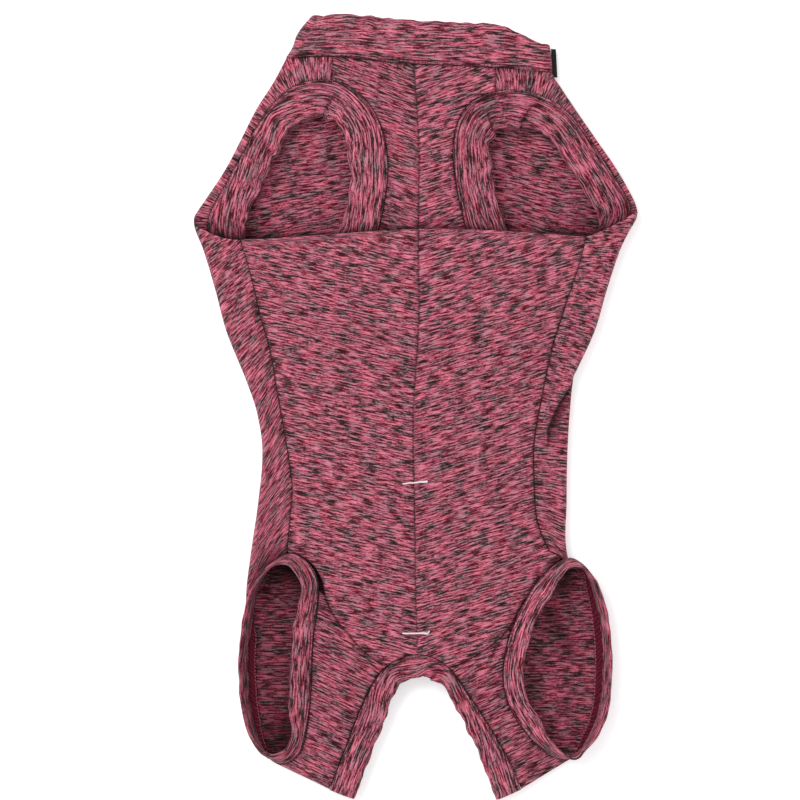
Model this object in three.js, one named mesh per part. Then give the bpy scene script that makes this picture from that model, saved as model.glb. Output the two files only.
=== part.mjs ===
// A dog's recovery suit of stretch knit, laid flat on its back so that its belly side shows.
// Millimetres. +Y runs to the neck, +X to the right as seen from above, z = 0 is the surface it lies on.
// The suit is a flattened tube: a lower layer on the surface, an upper layer over it, and panels that
// wrap the two side folds. The belly is folded forward over the chest in one flat pleat.
import * as THREE from "three";

// Whole suit
const SUIT_LENGTH = 485;
const SUIT_WIDTH = 275;

// Cloth and sewing
const CLOTH = 1.4;
const BAND_CLOTH = 2.6;
const SEAM_GAP = 0.6;
const LAYER_GAP = 0.8;

// Heights of the upper layer over the lower one
const SIDE_RISE = 6.5;
const CROWN_RISE = 13;
const LEG_RISE = 16;
const GROIN_DIP = 2;

// Widths in plan
const FOLD_DEPTH = 4;
const UNDER_LAP = 14;
const PLEAT_LAP = 8;
const ARM_BAND = 23;
const LEG_BAND = 12;
const REAR_BAND = 15;

// Label tab at the collar
const TAB_LENGTH = 14;
const TAB_REACH = 2.5;
const TAB_THICKNESS = 0.8;
const TAB_AT = 0.041;

const UNDER = CLOTH / 2;

// Rows and steps of the grids that the panels are made of
const SHOULDER_STEPS = 14;
const SIDE_STEPS = 20;
const BAND_STEPS = 14;
const BELLY_STEPS = 15;
const GROIN_STEPS = 10;
const HALF_WIDTH = SUIT_WIDTH / 2;
const PLEAT_STACK = BAND_CLOTH / 2 + CLOTH * 1.5 + LAYER_GAP * 3;
const SIDES = ["left", "right"];

// In every table, at is a share of the length counted from the neck, and x, left and right are shares
// of half the width counted from the middle.
const OUTLINE = [
  { at: 0.0, left: -0.5, right: 0.58 },
  { at: 0.056, left: -0.583, right: 0.624 },
  { at: 0.089, left: -0.646, right: 0.655 },
  { at: 0.121, left: -0.718, right: 0.721 },
  { at: 0.159, left: -0.786, right: 0.813 },
  { at: 0.198, left: -0.858, right: 0.908 },
  { at: 0.236, left: -0.944, right: 0.985 },
  { at: 0.25, left: -0.974, right: 1.0 },
  { at: 0.266, left: -1.0, right: 0.984 },
  { at: 0.3, left: -0.957, right: 0.923 },
  { at: 0.351, left: -0.903, right: 0.863 },
  { at: 0.403, left: -0.854, right: 0.809 },
  { at: 0.454, left: -0.782, right: 0.727 },
  { at: 0.505, left: -0.718, right: 0.7 },
  { at: 0.556, left: -0.691, right: 0.687 },
  { at: 0.62, left: -0.709, right: 0.682 },
  { at: 0.692, left: -0.745, right: 0.687 },
  { at: 0.742, left: -0.764, right: 0.786 },
  { at: 1.0, left: -0.764, right: 0.83 },
];

// Heights of the upper layer: side and crown are shares of SIDE_RISE and CROWN_RISE, and stack says
// how much of the pleat's layers still lies beneath.
const HEIGHTS = [
  { at: 0.0, side: 1.0, crown: 0.85, stack: 1.0 },
  { at: 0.1, side: 0.95, crown: 0.8, stack: 1.0 },
  { at: 0.25, side: 1.0, crown: 0.85, stack: 1.0 },
  { at: 0.36, side: 1.0, crown: 0.9, stack: 1.0 },
  { at: 0.42, side: 1.05, crown: 0.98, stack: 0.9 },
  { at: 0.52, side: 1.1, crown: 1.1, stack: 0.3 },
  { at: 0.62, side: 1.15, crown: 1.1, stack: 0.1 },
  { at: 0.7, side: 1.3, crown: 1.1, stack: 0.0 },
  { at: 0.82, side: 1.3, crown: 1.0, stack: 0.0 },
  { at: 0.92, side: 1.1, crown: 0.75, stack: 0.0 },
  { at: 1.0, side: 0.9, crown: 0.65, stack: 0.0 },
];

// Soft folds and dents of the upper layer behind the pleat: a line from x, at to toX, toAt, with its
// height as a share of CROWN_RISE and its half breadth as a share of half the width.
const CREASES = [
  { x: -0.72, at: 0.548, toX: -0.56, toAt: 0.575, height: 0.14, breadth: 0.05 },
  { x: -0.69, at: 0.575, toX: -0.57, toAt: 0.6, height: -0.1, breadth: 0.05 },
  { x: 0.74, at: 0.448, toX: 0.6, toAt: 0.52, height: 0.16, breadth: 0.05 },
  { x: 0.7, at: 0.49, toX: 0.595, toAt: 0.535, height: -0.3, breadth: 0.045 },
  { x: 0.25, at: 0.425, toX: -0.02, toAt: 0.47, height: -0.14, breadth: 0.09 },
  { x: -0.3, at: 0.44, toX: -0.02, toAt: 0.47, height: -0.12, breadth: 0.08 },
  { x: 0.5, at: 0.36, toX: 0.1, toAt: 0.4, height: 0.06, breadth: 0.1 },
  { x: -0.5, at: 0.37, toX: -0.1, toAt: 0.4, height: 0.05, breadth: 0.1 },
  { x: -0.3, at: 0.72, toX: -0.15, toAt: 0.8, height: -0.1, breadth: 0.09 },
  { x: 0.33, at: 0.74, toX: 0.2, toAt: 0.81, height: -0.1, breadth: 0.09 },
];

// Front edge of the belly, where it folds under itself over the chest.
const FOLD_LINE = [
  { x: -1.0, at: 0.266 },
  { x: -0.9, at: 0.282 },
  { x: -0.786, at: 0.287 },
  { x: -0.5, at: 0.283 },
  { x: -0.2, at: 0.277 },
  { x: 0.02, at: 0.274 },
  { x: 0.3, at: 0.275 },
  { x: 0.6, at: 0.28 },
  { x: 0.764, at: 0.283 },
  { x: 0.84, at: 0.277 },
  { x: 0.92, at: 0.269 },
  { x: 1.0, at: 0.251 },
];

// Seam down the middle of chest and belly.
const CENTRE_SEAM = [
  { at: 0.06, x: -0.007 },
  { at: 0.17, x: 0.016 },
  { at: 0.28, x: 0.013 },
  { at: 0.39, x: 0.016 },
  { at: 0.51, x: -0.009 },
  { at: 0.66, x: -0.002 },
  { at: 0.82, x: 0.002 },
];

// Seams between the belly and the two side panels.
const SIDE_SEAMS = [
  { at: 0.287, left: -0.786, right: 0.764 },
  { at: 0.326, left: -0.745, right: 0.727 },
  { at: 0.385, left: -0.696, right: 0.658 },
  { at: 0.431, left: -0.651, right: 0.61 },
  { at: 0.492, left: -0.615, right: 0.565 },
  { at: 0.55, left: -0.579, right: 0.532 },
  { at: 0.601, left: -0.554, right: 0.534 },
  { at: 0.646, left: -0.565, right: 0.547 },
  { at: 0.687, left: -0.577, right: 0.605 },
];

// Where the pieces along the sides begin and end. The bow is how far the side panel's rear edge curves
// forward round the leg's band.
const SIDE_PANEL = {
  left: { foldFrom: 0.267, foldTo: 0.73, seamFrom: 0.2885, seamTo: 0.685, bow: 0.011 },
  right: { foldFrom: 0.2525, foldTo: 0.69, seamFrom: 0.2845, seamTo: 0.684, bow: 0.002 },
};
const SHOULDER_SEAM = { left: -0.372, right: 0.362 };
const SHOULDER_END = { left: 0.2645, right: 0.25 };
const CHEST_END = 0.364;
const BELLY_WAIST = 0.7;

// Collar: the seam to the body and the free rim, which lies a little askew.
const COLLAR = [
  { x: -1.0, seam: 0.056, rim: 0.016, shrink: 0.9 },
  { x: -0.88, seam: 0.0545, rim: 0.003, shrink: 0.9 },
  { x: -0.6, seam: 0.0545, rim: 0.003, shrink: 0.9 },
  { x: -0.2, seam: 0.062, rim: 0.009, shrink: 0.9 },
  { x: 0.2, seam: 0.065, rim: 0.012, shrink: 0.95 },
  { x: 0.6, seam: 0.068, rim: 0.015, shrink: 0.98 },
  { x: 1.0, seam: 0.074, rim: 0.038, shrink: 0.98 },
];

// Sewn edge of each front leg's band: a closed loop that starts at the shoulder seam, runs round by
// the middle of the suit, and comes back along the side fold. Its rear stretch is under the pleat.
// The band's width there is a share of ARM_BAND.
const ARM_LOOPS = {
  left: [
    { x: -0.372, at: 0.0845, band: 0.96 },
    { x: -0.245, at: 0.103, band: 1.0 },
    { x: -0.16, at: 0.139, band: 1.0 },
    { x: -0.124, at: 0.191, band: 1.05 },
    { x: -0.146, at: 0.249, band: 1.05 },
    { x: -0.2, at: 0.3, band: 1.0 },
    { x: -0.309, at: 0.34, band: 1.0 },
    { x: -0.493, at: 0.358, band: 1.0 },
    { x: -0.69, at: 0.355, band: 1.0 },
    { x: -0.85, at: 0.333, band: 1.0 },
    { x: -0.925, at: 0.3, band: 1.0 },
    { x: -0.932, at: 0.262, band: 0.98 },
    { x: -0.865, at: 0.223, band: 0.9 },
    { x: -0.77, at: 0.173, band: 0.8 },
    { x: -0.67, at: 0.124, band: 0.76 },
    { x: -0.54, at: 0.091, band: 0.92 },
  ],
  right: [
    { x: 0.362, at: 0.0985, band: 1.0 },
    { x: 0.236, at: 0.116, band: 1.0 },
    { x: 0.178, at: 0.149, band: 0.98 },
    { x: 0.171, at: 0.191, band: 1.0 },
    { x: 0.2, at: 0.242, band: 1.02 },
    { x: 0.255, at: 0.294, band: 1.0 },
    { x: 0.354, at: 0.337, band: 1.0 },
    { x: 0.53, at: 0.356, band: 1.0 },
    { x: 0.714, at: 0.351, band: 1.0 },
    { x: 0.84, at: 0.328, band: 1.0 },
    { x: 0.9, at: 0.29, band: 1.0 },
    { x: 0.92, at: 0.247, band: 0.98 },
    { x: 0.866, at: 0.209, band: 0.93 },
    { x: 0.775, at: 0.168, band: 0.88 },
    { x: 0.672, at: 0.124, band: 0.86 },
    { x: 0.52, at: 0.0995, band: 0.94 },
  ],
};
const ARM_MIDDLES = {
  left: { x: -0.42, at: 0.18, toX: -0.64, toAt: 0.27 },
  right: { x: 0.46, at: 0.185, toX: 0.65, toAt: 0.27 },
};

// Places in the front leg loops where the chest's rear corner and the shoulder panel's end lie.
const ARM_MARKS = [{ chestEnd: 7, shoulderEnd: 10.6 }];

// Pairs that keep the shoulder panel's rows square to the side fold: share of its seam to the chest,
// and share of its length along the fold.
const SHOULDER_ROWS = [
  { seam: 0, fold: 0 },
  { seam: 0.1, fold: 0.05 },
  { seam: 0.25, fold: 0.18 },
  { seam: 0.4, fold: 0.32 },
  { seam: 0.58, fold: 0.55 },
  { seam: 0.77, fold: 0.77 },
  { seam: 0.9, fold: 0.91 },
  { seam: 1, fold: 1 },
];

// Sewn edge of each hind leg's band: rise is a share of LEG_RISE, and lean is the angle at which the
// band stands, 0 flat towards the middle of the opening, 90 upright and more than 90 outwards.
const LEG_LOOPS = {
  left: [
    { x: -0.565, at: 0.688, rise: 0.6, lean: 60 },
    { x: -0.493, at: 0.696, rise: 0.85, lean: 35 },
    { x: -0.441, at: 0.718, rise: 0.95, lean: 15 },
    { x: -0.437, at: 0.748, rise: 1.0, lean: 6 },
    { x: -0.455, at: 0.784, rise: 1.0, lean: 4 },
    { x: -0.466, at: 0.827, rise: 1.0, lean: 4 },
    { x: -0.473, at: 0.872, rise: 0.95, lean: 6 },
    { x: -0.489, at: 0.912, rise: 0.82, lean: 10 },
    { x: -0.529, at: 0.944, rise: 0.6, lean: 28 },
    { x: -0.61, at: 0.956, rise: 0.28, lean: 55 },
    { x: -0.687, at: 0.939, rise: 0.1, lean: 95 },
    { x: -0.727, at: 0.904, rise: 0.06, lean: 112 },
    { x: -0.745, at: 0.863, rise: 0.05, lean: 116 },
    { x: -0.75, at: 0.818, rise: 0.05, lean: 116 },
    { x: -0.736, at: 0.776, rise: 0.06, lean: 114 },
    { x: -0.718, at: 0.74, rise: 0.1, lean: 107 },
    { x: -0.655, at: 0.704, rise: 0.3, lean: 90 },
  ],
  right: [
    { x: 0.685, at: 0.694, rise: 0.6, lean: 62 },
    { x: 0.606, at: 0.706, rise: 0.85, lean: 32 },
    { x: 0.534, at: 0.728, rise: 0.95, lean: 14 },
    { x: 0.475, at: 0.756, rise: 1.0, lean: 6 },
    { x: 0.426, at: 0.788, rise: 1.0, lean: 4 },
    { x: 0.399, at: 0.821, rise: 1.0, lean: 4 },
    { x: 0.396, at: 0.855, rise: 0.98, lean: 6 },
    { x: 0.43, at: 0.886, rise: 0.9, lean: 10 },
    { x: 0.502, at: 0.917, rise: 0.72, lean: 20 },
    { x: 0.597, at: 0.943, rise: 0.42, lean: 48 },
    { x: 0.7, at: 0.948, rise: 0.14, lean: 88 },
    { x: 0.777, at: 0.923, rise: 0.06, lean: 104 },
    { x: 0.822, at: 0.89, rise: 0.05, lean: 113 },
    { x: 0.836, at: 0.85, rise: 0.05, lean: 116 },
    { x: 0.836, at: 0.806, rise: 0.05, lean: 116 },
    { x: 0.82, at: 0.763, rise: 0.06, lean: 114 },
    { x: 0.79, at: 0.727, rise: 0.12, lean: 105 },
    { x: 0.745, at: 0.701, rise: 0.32, lean: 84 },
  ],
};
const LEG_MIDDLES = {
  left: { x: -0.6, at: 0.755, toX: -0.6, toAt: 0.89 },
  right: { x: 0.66, at: 0.75, toX: 0.63, toAt: 0.88 },
};

// Edge of the belly beside each hind leg, from the end of the side seam to the corner of the rear band.
const GROINS = {
  left: [
    { x: -0.52, at: 0.688 },
    { x: -0.462, at: 0.701 },
    { x: -0.418, at: 0.722 },
    { x: -0.403, at: 0.742 },
    { x: -0.367, at: 0.765 },
    { x: -0.3, at: 0.79 },
    { x: -0.223, at: 0.814 },
    { x: -0.133, at: 0.832 },
  ],
  right: [
    { x: 0.625, at: 0.693 },
    { x: 0.58, at: 0.705 },
    { x: 0.508, at: 0.728 },
    { x: 0.448, at: 0.756 },
    { x: 0.4, at: 0.782 },
    { x: 0.335, at: 0.805 },
    { x: 0.25, at: 0.82 },
    { x: 0.155, at: 0.834 },
  ],
};

// Which stretch of a leg's loop the sleeve's edges run beside: its start beside the groin, the corner
// of the rear band, the hem's fold, and its end on the lower layer.
const SLEEVE_MARKS = {
  left: { groinFrom: 3, start: 2.6, corner: 5, foldFrom: 8, foldTo: 10, archTo: 12, end: 15.3, foldX: -0.755 },
  right: { groinFrom: 4, start: 4, corner: 5.6, foldFrom: 9, foldTo: 11, archTo: 13, end: 16.9, foldX: 0.675 },
};
const LOWER_CORNERS = { left: { x: -0.66, at: 0.737 }, right: { x: 0.61, at: 0.7 } };

// Sewn edge of the rear band, from the left leg's hem over the arch to the right leg's hem, with the
// band's width there as a share of REAR_BAND.
const ARCH = [
  { x: -0.375, at: 0.98, band: 1.06 },
  { x: -0.327, at: 0.945, band: 1.03 },
  { x: -0.245, at: 0.884, band: 1.06 },
  { x: -0.191, at: 0.853, band: 0.93 },
  { x: -0.133, at: 0.832, band: 0.87 },
  { x: -0.061, at: 0.82, band: 0.94 },
  { x: 0.011, at: 0.816, band: 0.95 },
  { x: 0.083, at: 0.82, band: 0.81 },
  { x: 0.155, at: 0.834, band: 0.64 },
  { x: 0.227, at: 0.862, band: 0.66 },
  { x: 0.349, at: 0.916, band: 0.86 },
  { x: 0.408, at: 0.945, band: 0.97 },
  { x: 0.462, at: 0.98, band: 1.04 },
];
const ARCH_CORNERS = { left: 4 / 12, right: 8 / 12 };
const ARCH_WIDTHS = ARCH.map(({ band }, i) => ({ t: i / (ARCH.length - 1), band }));

const UP = new THREE.Vector3(0, 0, 1);

// Value of one column of a table at a place in its key column, eased between rows.
function column(table, key, name, value) {
  const found = table.findIndex((row) => row[key] > value);
  const next = found < 0 ? table.length - 1 : Math.max(found, 1);
  const a = table[next - 1];
  const b = table[next];
  const before = table[Math.max(next - 2, 0)];
  const after = table[Math.min(next + 1, table.length - 1)];
  const span = b[key] - a[key];
  const slopeA = ((b[name] - before[name]) / (b[key] - before[key])) * span;
  const slopeB = ((after[name] - a[name]) / (after[key] - a[key])) * span;
  const t = THREE.MathUtils.clamp((value - a[key]) / span, 0, 1);
  const rise = t * t * (3 - 2 * t);
  return (1 - rise) * a[name] + rise * b[name] + t * (1 - t) * ((1 - t) * slopeA - t * slopeB);
}

const lengthwise = (at) => (0.5 - at) * SUIT_LENGTH;
const shareOf = (y) => 0.5 - y / SUIT_LENGTH;
const place = ({ x, at }, z = 0) => new THREE.Vector3(x * HALF_WIDTH, lengthwise(at), z);
const mix = THREE.MathUtils.lerp;

// How far across the suit a point lies: -1 at the left side fold, 1 at the right one.
function across(x, y) {
  const left = column(OUTLINE, "at", "left", shareOf(y)) * HALF_WIDTH;
  const right = column(OUTLINE, "at", "right", shareOf(y)) * HALF_WIDTH;
  return THREE.MathUtils.clamp((2 * x - left - right) / (right - left), -1, 1);
}

// Height of the middle of the chest's cloth, and of every piece that lies at its level.
function chestHeight(x, y) {
  const side = column(HEIGHTS, "at", "side", shareOf(y)) * SIDE_RISE;
  const crown = column(HEIGHTS, "at", "crown", shareOf(y)) * CROWN_RISE;
  return UNDER + side + (crown - side) * (1 - across(x, y) ** 2);
}

// Height that one crease adds at a point.
function creaseHeight(crease, x, y) {
  const from = place(crease);
  const to = place({ x: crease.toX, at: crease.toAt });
  const nearest = new THREE.Line3(from, to).closestPointToPoint(new THREE.Vector3(x, y, 0), true, new THREE.Vector3());
  const away = Math.hypot(x - nearest.x, y - nearest.y) / (crease.breadth * HALF_WIDTH);
  return crease.height * CROWN_RISE * Math.exp(-away * away);
}

// Height of the middle of the belly's cloth: the chest's level, the pleat's layers and the creases.
function bellyHeight(x, y) {
  const stack = column(HEIGHTS, "at", "stack", shareOf(y)) * PLEAT_STACK;
  const towardsFold = 0.55 + 0.45 * (1 - across(x, y) ** 8);
  const creases = CREASES.reduce((sum, crease) => sum + creaseHeight(crease, x, y), 0);
  return chestHeight(x, y) + stack * towardsFold + creases;
}

const laid = (point, height) => point.setZ(height(point.x, point.y));

// Evenly spaced points of a curve between two of its parameters.
function stretch(curve, from, to, steps) {
  return Array.from({ length: steps + 1 }, (_, i) => curve.getPoint(mix(from, to, i / steps)));
}

// Several stretches as one row of points, with each shared point kept once.
const joined = (...pieces) => pieces.flatMap((piece, i) => (i ? piece.slice(1) : piece));

const seamCurve = (rows) => new THREE.CatmullRomCurve3(rows.map((row) => place(row)), false, "centripetal");
const loopCurve = (rows) => new THREE.CatmullRomCurve3(rows.map((row) => place(row)), true, "centripetal");

// Points moved sideways in plan, to the left of their direction when the distance is positive.
function offset(points, distance) {
  return points.map((point, i) => {
    const ahead = points[Math.min(i + 1, points.length - 1)];
    const behind = points[Math.max(i - 1, 0)];
    const along = new THREE.Vector3().subVectors(ahead, behind).setZ(0).normalize();
    return point.clone().addScaledVector(new THREE.Vector3(-along.y, along.x, 0), distance);
  });
}

// Point on a side fold, in the middle of its cloth.
function foldPoint(side, at) {
  const inset = side === "left" ? CLOTH / 2 : -CLOTH / 2;
  return new THREE.Vector3(column(OUTLINE, "at", side, at) * HALF_WIDTH + inset, lengthwise(at), 0);
}

// Closed solid of even thickness round a grid of points in the middle of the cloth.
function clothGeometry(grid, thickness, ring = false) {
  const rows = grid.length;
  const columns = grid[0].length;
  const rowAt = (i) => grid[ring ? (i + rows) % rows : THREE.MathUtils.clamp(i, 0, rows - 1)];
  const faces = [1, -1].map((face) =>
    grid.map((row, i) =>
      row.map((point, j) => {
        const lengthways = new THREE.Vector3().subVectors(rowAt(i + 1)[j], rowAt(i - 1)[j]);
        const sideways = new THREE.Vector3().subVectors(row[Math.min(j + 1, columns - 1)], row[Math.max(j - 1, 0)]);
        const normal = lengthways.cross(sideways).normalize();
        return point.clone().addScaledVector(normal, (face * thickness) / 2);
      }),
    ),
  );
  const positions = faces.flat(2).flatMap((point) => point.toArray());
  const vertex = (face, i, j) => (face * rows + (i % rows)) * columns + j;
  const triangles = [];
  const quad = (a, b, c, d) => triangles.push(a, b, c, a, c, d);
  const spans = ring ? rows : rows - 1;
  for (let i = 0; i < spans; i++) {
    for (let j = 0; j < columns - 1; j++) {
      quad(vertex(0, i, j), vertex(0, i + 1, j), vertex(0, i + 1, j + 1), vertex(0, i, j + 1));
      quad(vertex(1, i, j), vertex(1, i, j + 1), vertex(1, i + 1, j + 1), vertex(1, i + 1, j));
    }
    quad(vertex(0, i, 0), vertex(1, i, 0), vertex(1, i + 1, 0), vertex(0, i + 1, 0));
    const last = columns - 1;
    quad(vertex(0, i, last), vertex(0, i + 1, last), vertex(1, i + 1, last), vertex(1, i, last));
  }
  if (!ring) {
    for (let j = 0; j < columns - 1; j++) {
      quad(vertex(0, 0, j), vertex(0, 0, j + 1), vertex(1, 0, j + 1), vertex(1, 0, j));
      const end = rows - 1;
      quad(vertex(0, end, j), vertex(1, end, j), vertex(1, end, j + 1), vertex(0, end, j + 1));
    }
  }
  return facingOut(positions, triangles);
}

// Geometry whose faces point outwards, whichever way round its grid was laid.
function facingOut(positions, triangles) {
  const corner = (index) => new THREE.Vector3().fromArray(positions, index * 3);
  let volume = 0;
  for (let i = 0; i < triangles.length; i += 3) {
    volume += corner(triangles[i]).dot(corner(triangles[i + 1]).cross(corner(triangles[i + 2])));
  }
  const geometry = new THREE.BufferGeometry();
  geometry.setAttribute("position", new THREE.Float32BufferAttribute(positions, 3));
  geometry.setIndex(volume < 0 ? triangles.reverse() : triangles);
  geometry.computeVertexNormals();
  return geometry;
}

// Rows of points across a panel, from each of its edges to the next.
function ruled(edges, steps) {
  return edges[0].map((_, i) => {
    const spans = edges.slice(1).map((edge, k) =>
      Array.from({ length: steps + 1 }, (_, j) => edges[k][i].clone().lerp(edge[i], j / steps)),
    );
    return joined(...spans);
  });
}

// Row across a panel that wraps a side fold: from its upper seam, round the fold, to its lower seam.
function wrappedRow(seam, fold, under, height, bow = 0) {
  const outwards = new THREE.Vector3().subVectors(fold, seam).setZ(0).normalize();
  const inwards = new THREE.Vector3().subVectors(under, fold).setZ(0).normalize();
  const turn = laid(fold.clone().addScaledVector(outwards, -FOLD_DEPTH), height);
  const lip = [0, 1, 2, 3].map((i) => {
    const point = seam.clone().lerp(turn, i / 3);
    point.y += bow * Math.sin((Math.PI * i) / 3);
    return laid(point, height);
  });
  const middle = (turn.z + UNDER) / 2;
  const arc = [1, 2, 3, 4, 5].map((i) => {
    const angle = Math.PI * (i / 5);
    const short = FOLD_DEPTH * (1 - Math.sin(angle));
    const point = fold.clone().addScaledVector(i < 3 ? outwards : inwards, i < 3 ? -short : short);
    return point.setZ(middle + (turn.z - middle) * Math.cos(angle));
  });
  const back = [1, 2].map((i) => arc[4].clone().lerp(under, i / 2).setZ(UNDER));
  return [...lip, ...arc, ...back];
}

// Point of the lower layer that lies a lap inside a side fold.
function insideFold(side, at, lap) {
  return foldPoint(side, at).add(new THREE.Vector3(side === "left" ? lap : -lap, 0, UNDER));
}

// Places along a side fold where the shoulder panel's rows lie.
function shoulderStations(side) {
  const from = collarSeamAt(foldPoint(side, 0.06).x) + SEAM_GAP / SUIT_LENGTH;
  return Array.from({ length: SHOULDER_STEPS + 1 }, (_, i) =>
    mix(from, SHOULDER_END[side], column(SHOULDER_ROWS, "seam", "fold", i / SHOULDER_STEPS)),
  );
}

// Places along a side fold where the side panel's rows lie.
function sideStations(side) {
  const { foldFrom, foldTo } = SIDE_PANEL[side];
  return Array.from({ length: SIDE_STEPS + 1 }, (_, i) => mix(foldFrom, foldTo, i / SIDE_STEPS));
}

const collarSeamAt = (x) => {
  const left = column(OUTLINE, "at", "left", 0.056) * HALF_WIDTH;
  const right = column(OUTLINE, "at", "right", 0.07) * HALF_WIDTH;
  return column(COLLAR, "x", "seam", (2 * x - left - right) / (right - left));
};

// Value of one column of a loop's table at a place between its rows.
function around(rows, name, index) {
  const low = Math.floor(index);
  return mix(rows[low % rows.length][name], rows[(low + 1) % rows.length][name], index - low);
}

// Direction in plan from a point of a loop to the middle line of its opening.
function towardsMiddle(middle, point) {
  const line = new THREE.Line3(place(middle), place({ x: middle.toX, at: middle.toAt }));
  const nearest = line.closestPointToPoint(point.clone().setZ(0), true, new THREE.Vector3());
  return nearest.sub(point).setZ(0).normalize();
}

// Front leg bands

function armLoop(side, from, to, steps, gap) {
  const curve = loopCurve(ARM_LOOPS[side]);
  const count = ARM_LOOPS[side].length;
  return stretch(curve, from / count, to / count, steps).map((point) =>
    point.addScaledVector(towardsMiddle(ARM_MIDDLES[side], point), -gap),
  );
}

function armBand(side) {
  const rows = ARM_LOOPS[side];
  const count = 36;
  const loop = armLoop(side, 0, rows.length, count, 0).slice(0, count);
  const grid = loop.map((point, i) => {
    const direction = towardsMiddle(ARM_MIDDLES[side], point);
    const width = ARM_BAND * around(rows, "band", (i / count) * rows.length);
    return [0, 0.5, 1].map((share) =>
      laid(point.clone().addScaledVector(direction, SEAM_GAP / 2 + share * width), chestHeight),
    );
  });
  return clothGeometry(grid, BAND_CLOTH, true);
}

// Chest and shoulders

// Seam between chest and shoulder panel: down from the collar, then round the front leg's band.
function shoulderSeam(side, shift) {
  const x = SHOULDER_SEAM[side] * HALF_WIDTH + shift;
  const top = new THREE.Vector3(x, lengthwise(collarSeamAt(x)) - SEAM_GAP, 0);
  const foot = place({ x: 0, at: ARM_LOOPS[side][0].at }).setX(x);
  foot.y += SEAM_GAP / 2;
  return [top, top.clone().lerp(foot, 0.5), foot];
}

function chestPanel(side) {
  const towardsCentre = side === "left" ? SEAM_GAP / 2 : -SEAM_GAP / 2;
  const band = armLoop(side, 0, ARM_MARKS[0].chestEnd, BAND_STEPS, SEAM_GAP / 2);
  const outer = joined(shoulderSeam(side, towardsCentre), [null, ...band.slice(1)]);
  outer[outer.length - 1].setY(lengthwise(CHEST_END));
  const top = collarSeamAt(0);
  const inner = outer.map((_, i) => {
    const at = mix(top, CHEST_END, i / (outer.length - 1));
    const x = column(CENTRE_SEAM, "at", "x", at) * HALF_WIDTH - towardsCentre;
    return new THREE.Vector3(x, lengthwise(at) - (i ? 0 : SEAM_GAP), 0);
  });
  const grid = ruled([outer, inner], 4);
  grid[0].forEach((point) => point.setY(lengthwise(collarSeamAt(point.x)) - SEAM_GAP));
  return clothGeometry(grid.map((row) => row.map((point) => laid(point, chestHeight))), CLOTH);
}

function shoulderPanel(side) {
  const count = ARM_LOOPS[side].length;
  const outwards = side === "left" ? -SEAM_GAP / 2 : SEAM_GAP / 2;
  const down = shoulderSeam(side, outwards);
  const round = armLoop(side, count, ARM_MARKS[0].shoulderEnd, SHOULDER_STEPS, SEAM_GAP / 2);
  const seam = new THREE.CurvePath();
  const points = joined(down, [null, ...round.slice(1)]);
  points.slice(1).forEach((point, i) => seam.add(new THREE.LineCurve3(points[i], point)));
  const grid = shoulderStations(side).map((at, i) => {
    const under = insideFold(side, at, UNDER_LAP);
    return wrappedRow(seam.getPoint(i / SHOULDER_STEPS), foldPoint(side, at), under, chestHeight);
  });
  return clothGeometry(grid, CLOTH);
}

// Collar

function collarRing() {
  const steps = 12;
  const loop = (name) => {
    const row = (share) => column(COLLAR, "x", name, share);
    const left = foldPoint("left", row(-1));
    const right = foldPoint("right", row(1));
    const upper = Array.from({ length: steps + 1 }, (_, i) => {
      const share = mix(-1, 1, i / steps);
      const x = mix(left.x + FOLD_DEPTH, right.x - FOLD_DEPTH, i / steps);
      return laid(new THREE.Vector3(x, lengthwise(row(share)), 0), chestHeight);
    });
    const lower = upper.map((point) => point.clone().setZ(BAND_CLOTH / 2)).reverse();
    const turn = (from, way) =>
      [1, 2, 3, 4].map((i) => {
        const angle = Math.PI * (i / 5);
        const middle = (from.z + BAND_CLOTH / 2) / 2;
        const z = middle + (from.z - middle) * Math.cos(angle);
        return new THREE.Vector3(from.x + way * FOLD_DEPTH * Math.sin(angle), from.y, z);
      });
    return [...upper, ...turn(upper[steps], 1), ...lower, ...turn(upper[0], -1).reverse()];
  };
  const seam = loop("seam");
  const rim = loop("rim");
  return clothGeometry(seam.map((point, i) => [0, 0.5, 1].map((t) => point.clone().lerp(rim[i], t))), BAND_CLOTH, true);
}

function labelTab() {
  const head = foldPoint("right", TAB_AT);
  const tail = foldPoint("right", TAB_AT + TAB_LENGTH / SUIT_LENGTH);
  const beside = BAND_CLOTH / 2 + SEAM_GAP + TAB_REACH / 2;
  const geometry = new THREE.BoxGeometry(TAB_REACH, TAB_LENGTH, TAB_THICKNESS);
  geometry.rotateZ(Math.atan2(head.y - tail.y, head.x - tail.x) - Math.PI / 2);
  return geometry.translate((head.x + tail.x) / 2 + beside, (head.y + tail.y) / 2, UNDER + SIDE_RISE / 2);
}

// Belly

function groinEdge(side) {
  return seamCurve(GROINS[side]);
}

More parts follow.
